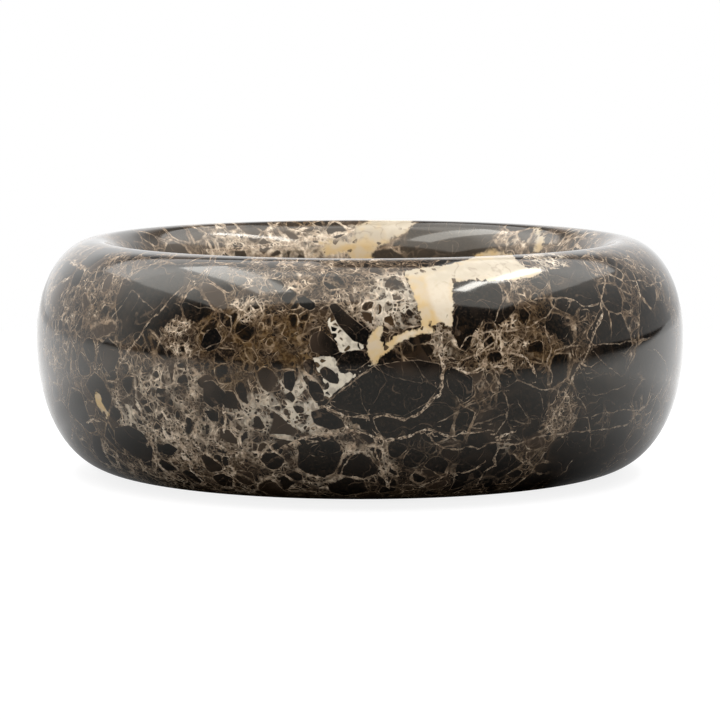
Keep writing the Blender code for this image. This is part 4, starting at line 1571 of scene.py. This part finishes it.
def felt_tree():
    """A punched disc of pressed felt: its cut edge is rounded over and its faces are a little uneven."""
    g, given = new_group("Felt disc", "GeometryNodeTree", FELT_INPUTS, {"Geometry": ("Mesh",)})
    feeds = {
        "Vertices": given["Sides"],
        "Side Segments": given["Edge Rows"],
        "Fill Segments": given["Rings"],
        "Radius": 1.0,
        "Depth": 2.0,
    }
    drum = g.out("GeometryNodeMeshCylinder", feeds, fill_type="TRIANGLE_FAN")
    here = g.out("GeometryNodeInputPosition")
    way = g.axes(here)
    level = way["Z"]
    swell = g.math("SQRT", g.most(g.minus(1.0, g.times(level, level)), 0.0))
    reach = g.linear(g.minus(swell, 1.0), given["Edge"], given["Radius"])

    apart = g.shift(g.stretch(here, FELT_LUMPS), g.stretch(given["Centre"], 1 / MM))
    worn = g.minus(1.0, g.times(g.noise(apart, FELT_LUMP_DETAIL), given["Unevenness"]))
    across = g.times(reach, worn)
    up = g.times(g.times(level, given["Thickness"]), g.times(worn, 0.5))
    point = g.join_axes(g.times(way["X"], across), g.times(way["Y"], across), up)
    placed = {"Geometry": drum, "Position": g.shift(point, given["Centre"])}
    finish_mesh(g, g.out("GeometryNodeSetPosition", placed), given["Felt"])
    return g.tree


def felt_material():
    """Dark brown pressed felt: short fibres that lie every way, painted darker as shade where they lie
    low between the others.
    """
    material = new_material("felt")
    g = Graph(material.node_tree)
    where = g.stretch(g.node("ShaderNodeTexCoord").outputs["Object"], 1 / MM)
    bend = g.noise(where, FELT_BEND_DETAIL, FELT_BEND_SCALE, "Color")
    bent = g.shift(where, g.stretch(bend, FELT_BEND))

    def fibres(turn, shift):
        """Lines a tenth of a millimetre thick that run mostly one way, bent by a slower drift."""
        feeds = {
            "Vector": bent,
            "Location": shift,
            "Rotation": (0.0, 0.0, turn),
            "Scale": FELT_FIBRE_SCALE,
        }
        return g.noise(g.out("ShaderNodeMapping", feeds), FELT_FIBRE_DETAIL)

    top = g.most(*(fibres(*layer) for layer in FELT_FIBRES))
    wear = g.noise(where, FELT_WEAR_DETAIL, FELT_WEAR_SCALE)
    # Painted shade: darker where the fibres lie low, in the hollows that the bump makes; the worn colour
    # after it is real wear
    colour = g.mix(g.span(top, *FELT_SHADE), FELT_DEEP_SHADE, FELT_BROWN)
    colour = g.mix(g.span(wear, *FELT_WEAR), colour, FELT_WORN)
    height = g.times(top, FELT_NAP)
    feeds = {
        "Base Color": colour,
        "Roughness": FELT_ROUGHNESS,
        "Normal": g.out("ShaderNodeBump", {"Height": height, "Strength": 1.0, "Distance": 1.0}),
        "Sheen Weight": FELT_SHEEN,
        "Sheen Roughness": FELT_SHEEN_ROUGHNESS,
    }
    g.node("ShaderNodeOutputMaterial", {"Surface": g.out("ShaderNodeBsdfPrincipled", feeds)})
    return material


def felt_feet():
    """The four felt discs that the stone stands on, each in the place of its own solid."""
    tree, felt = felt_tree(), felt_material()
    for node in FELT_NODES:
        low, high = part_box(node)
        values = {
            "Centre": (low + high) / 2,
            "Radius": (high.x - low.x) / 2,
            "Thickness": high.z - low.z,
            "Edge": FELT_EDGE,
            "Unevenness": FELT_UNEVENNESS,
            "Sides": FELT_SIDES,
            "Edge Rows": FELT_EDGE_ROWS,
            "Rings": FELT_RINGS,
            "Felt": felt,
        }
        disc = plain_mesh(f"{node}_pad", tree, values)
        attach(disc, "root")
        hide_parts(node)


# Stage, lights and camera


def face(eye, aim):
    """Turns a camera or a lamp towards a place."""
    eye.rotation_euler = (aim - eye.location).to_track_quat("-Z", "Y").to_euler()


def camera():
    low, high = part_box("bowl")
    middle = Vector((0, 0, (low.z + high.z) / 2))
    data = bpy.data.cameras.new("camera")
    data.sensor_width = SENSOR
    data.lens = LENS
    eye = place_object("camera", data)
    eye.location = middle + VIEW_DISTANCE * Vector((0, -cos(VIEW_RISE), sin(VIEW_RISE)))
    face(eye, middle - Vector((0, 0, AIM_DROP)))
    bpy.context.scene.camera = eye
    return eye


def floor_material():
    """A white table. The stone mirrors it with painted shadow under the bowl and a painted glow to the
    sides, greyer in front, and no further than its front edge.
    """
    material = new_material("floor")
    g = Graph(material.node_tree)
    where = g.node("ShaderNodeTexCoord").outputs["Object"]
    place = g.axes(where)
    far = g.node("ShaderNodeVectorMath", {0: where}, operation="LENGTH").outputs["Value"]

    def paint(colour, strength):
        """A plain matt colour that also glows."""
        matt = g.out("ShaderNodeBsdfDiffuse", {"Color": colour})
        glow = g.out("ShaderNodeEmission", {"Strength": strength})
        return g.out("ShaderNodeAddShader", {0: matt, 1: glow})

    seen = paint(g.span(far, *FLOOR_SHADOW), g.span(far, *FLOOR_WHITE))

    # Mirrored, it has painted shadow black under the bowl, a painted glow bright to the sides, and is
    # dark past its edge
    sideways = g.linear(place["Y"], TABLE_SPREAD, g.math("ABSOLUTE", place["X"]))
    glow = g.most(g.span(sideways, *TABLE_NEAR), g.span(sideways, *TABLE_WIDE))
    table = paint(g.span(far, *TABLE_GREY_AND_PAINTED_SHADOW), glow)
    room = g.out("ShaderNodeEmission", {"Strength": ROOM})
    astray = g.most(place["X"], g.times(place["X"], TABLE_LEFT))
    forward = g.linear(place["Y"], TABLE_FRONT, astray)
    mirrored = g.out("ShaderNodeMixShader", {0: g.span(forward, *TABLE_EDGE), 1: table, 2: room})

    dim = g.out("ShaderNodeBsdfDiffuse", {"Color": (FLOOR_BOUNCE, FLOOR_BOUNCE, FLOOR_BOUNCE, 1)})
    path = g.node("ShaderNodeLightPath").outputs
    lit = g.out("ShaderNodeMixShader", {0: path["Is Glossy Ray"], 1: dim, 2: mirrored})
    mix = g.out("ShaderNodeMixShader", {0: path["Is Camera Ray"], 1: lit, 2: seen})

    # From below it isn't there, so that the foot can be looked at
    beneath = g.node("ShaderNodeNewGeometry").outputs["Backfacing"]
    clear = g.out("ShaderNodeBsdfTransparent")
    sided = g.out("ShaderNodeMixShader", {0: beneath, 1: mix, 2: clear})
    g.node("ShaderNodeOutputMaterial", {"Surface": sided})
    return material


def stage():
    corners = [
        (x * FLOOR_REACH, y * FLOOR_REACH, -FLOOR_GAP) for x, y in ((-1, -1), (1, -1), (1, 1), (-1, 1))
    ]
    mesh = bpy.data.meshes.new("floor")
    mesh.from_pydata(corners, [], [(0, 1, 2, 3)])
    mesh.materials.append(floor_material())
    place_object("floor", mesh)


def room_glow(g):
    """How bright the room is in the polish: dim low down, dark in front and bright overhead."""
    way = g.axes(g.node("ShaderNodeTexCoord").outputs["Generated"])
    level = g.math("SQRT", g.minus(1.0, g.times(way["Z"], way["Z"])))
    back = g.math("DIVIDE", way["Y"], g.most(level, LEAST_LEVEL))
    rise = g.plus(g.ramp(way["Z"], *ROOM_RISE), g.ramp(back, *ROOM_BACK))
    around = g.times(g.ramp(back, *ROOM_FRONT), g.ramp(way["X"], *ROOM_SIDES))
    behind = g.times(g.ramp(back, *ROOM_BEHIND), g.ramp(way["Z"], *ROOM_BEHIND_HIGH))
    open_room = g.times(g.most(around, g.ramp(way["Z"], *ROOM_TOP)), g.minus(1.0, behind))
    return g.times(rise, open_room)


def world():
    """White to the camera, an even dim white to the stone's colour and a soft room in its polish."""
    made = bpy.data.worlds.new("studio")
    made.use_nodes = True
    made.node_tree.nodes.clear()
    g = Graph(made.node_tree)
    path = g.node("ShaderNodeLightPath").outputs
    fill, room, white = (
        g.out("ShaderNodeBackground", {"Color": (1, 1, 1, 1), "Strength": strength})
        for strength in (FILL, room_glow(g), 1.0)
    )
    lit = g.out("ShaderNodeMixShader", {0: path["Is Glossy Ray"], 1: fill, 2: room})
    seen = g.out("ShaderNodeMixShader", {0: path["Is Camera Ray"], 1: lit, 2: white})
    g.node("ShaderNodeOutputWorld", {"Surface": seen})
    bpy.context.scene.world = made


def lights():
    """Area lamps of given brightnesses, which white cards in their places would show."""
    for name, place, size, brightness, aim, mirrored in SOFT_BOXES:
        data = bpy.data.lights.new(name, "AREA")
        data.shape = "RECTANGLE"
        data.size, data.size_y = size
        data.energy = brightness * pi * size[0] * size[1]
        lamp = place_object(name, data)
        lamp.location = place
        face(lamp, Vector(aim))
        lamp.visible_camera = False
        lamp.visible_glossy = mirrored


camera_eye = camera()
stone = marble_material()
bowl, bowl_values = turned_bowl(stone)
bpy.context.view_layer.update()
lay_figure(Skin(bowl, bowl_values, camera_eye))
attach(bowl, "root")
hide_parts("bowl")
felt_feet()
stage()
world()
lights()
bpy.context.scene.view_settings.view_transform = "Standard"
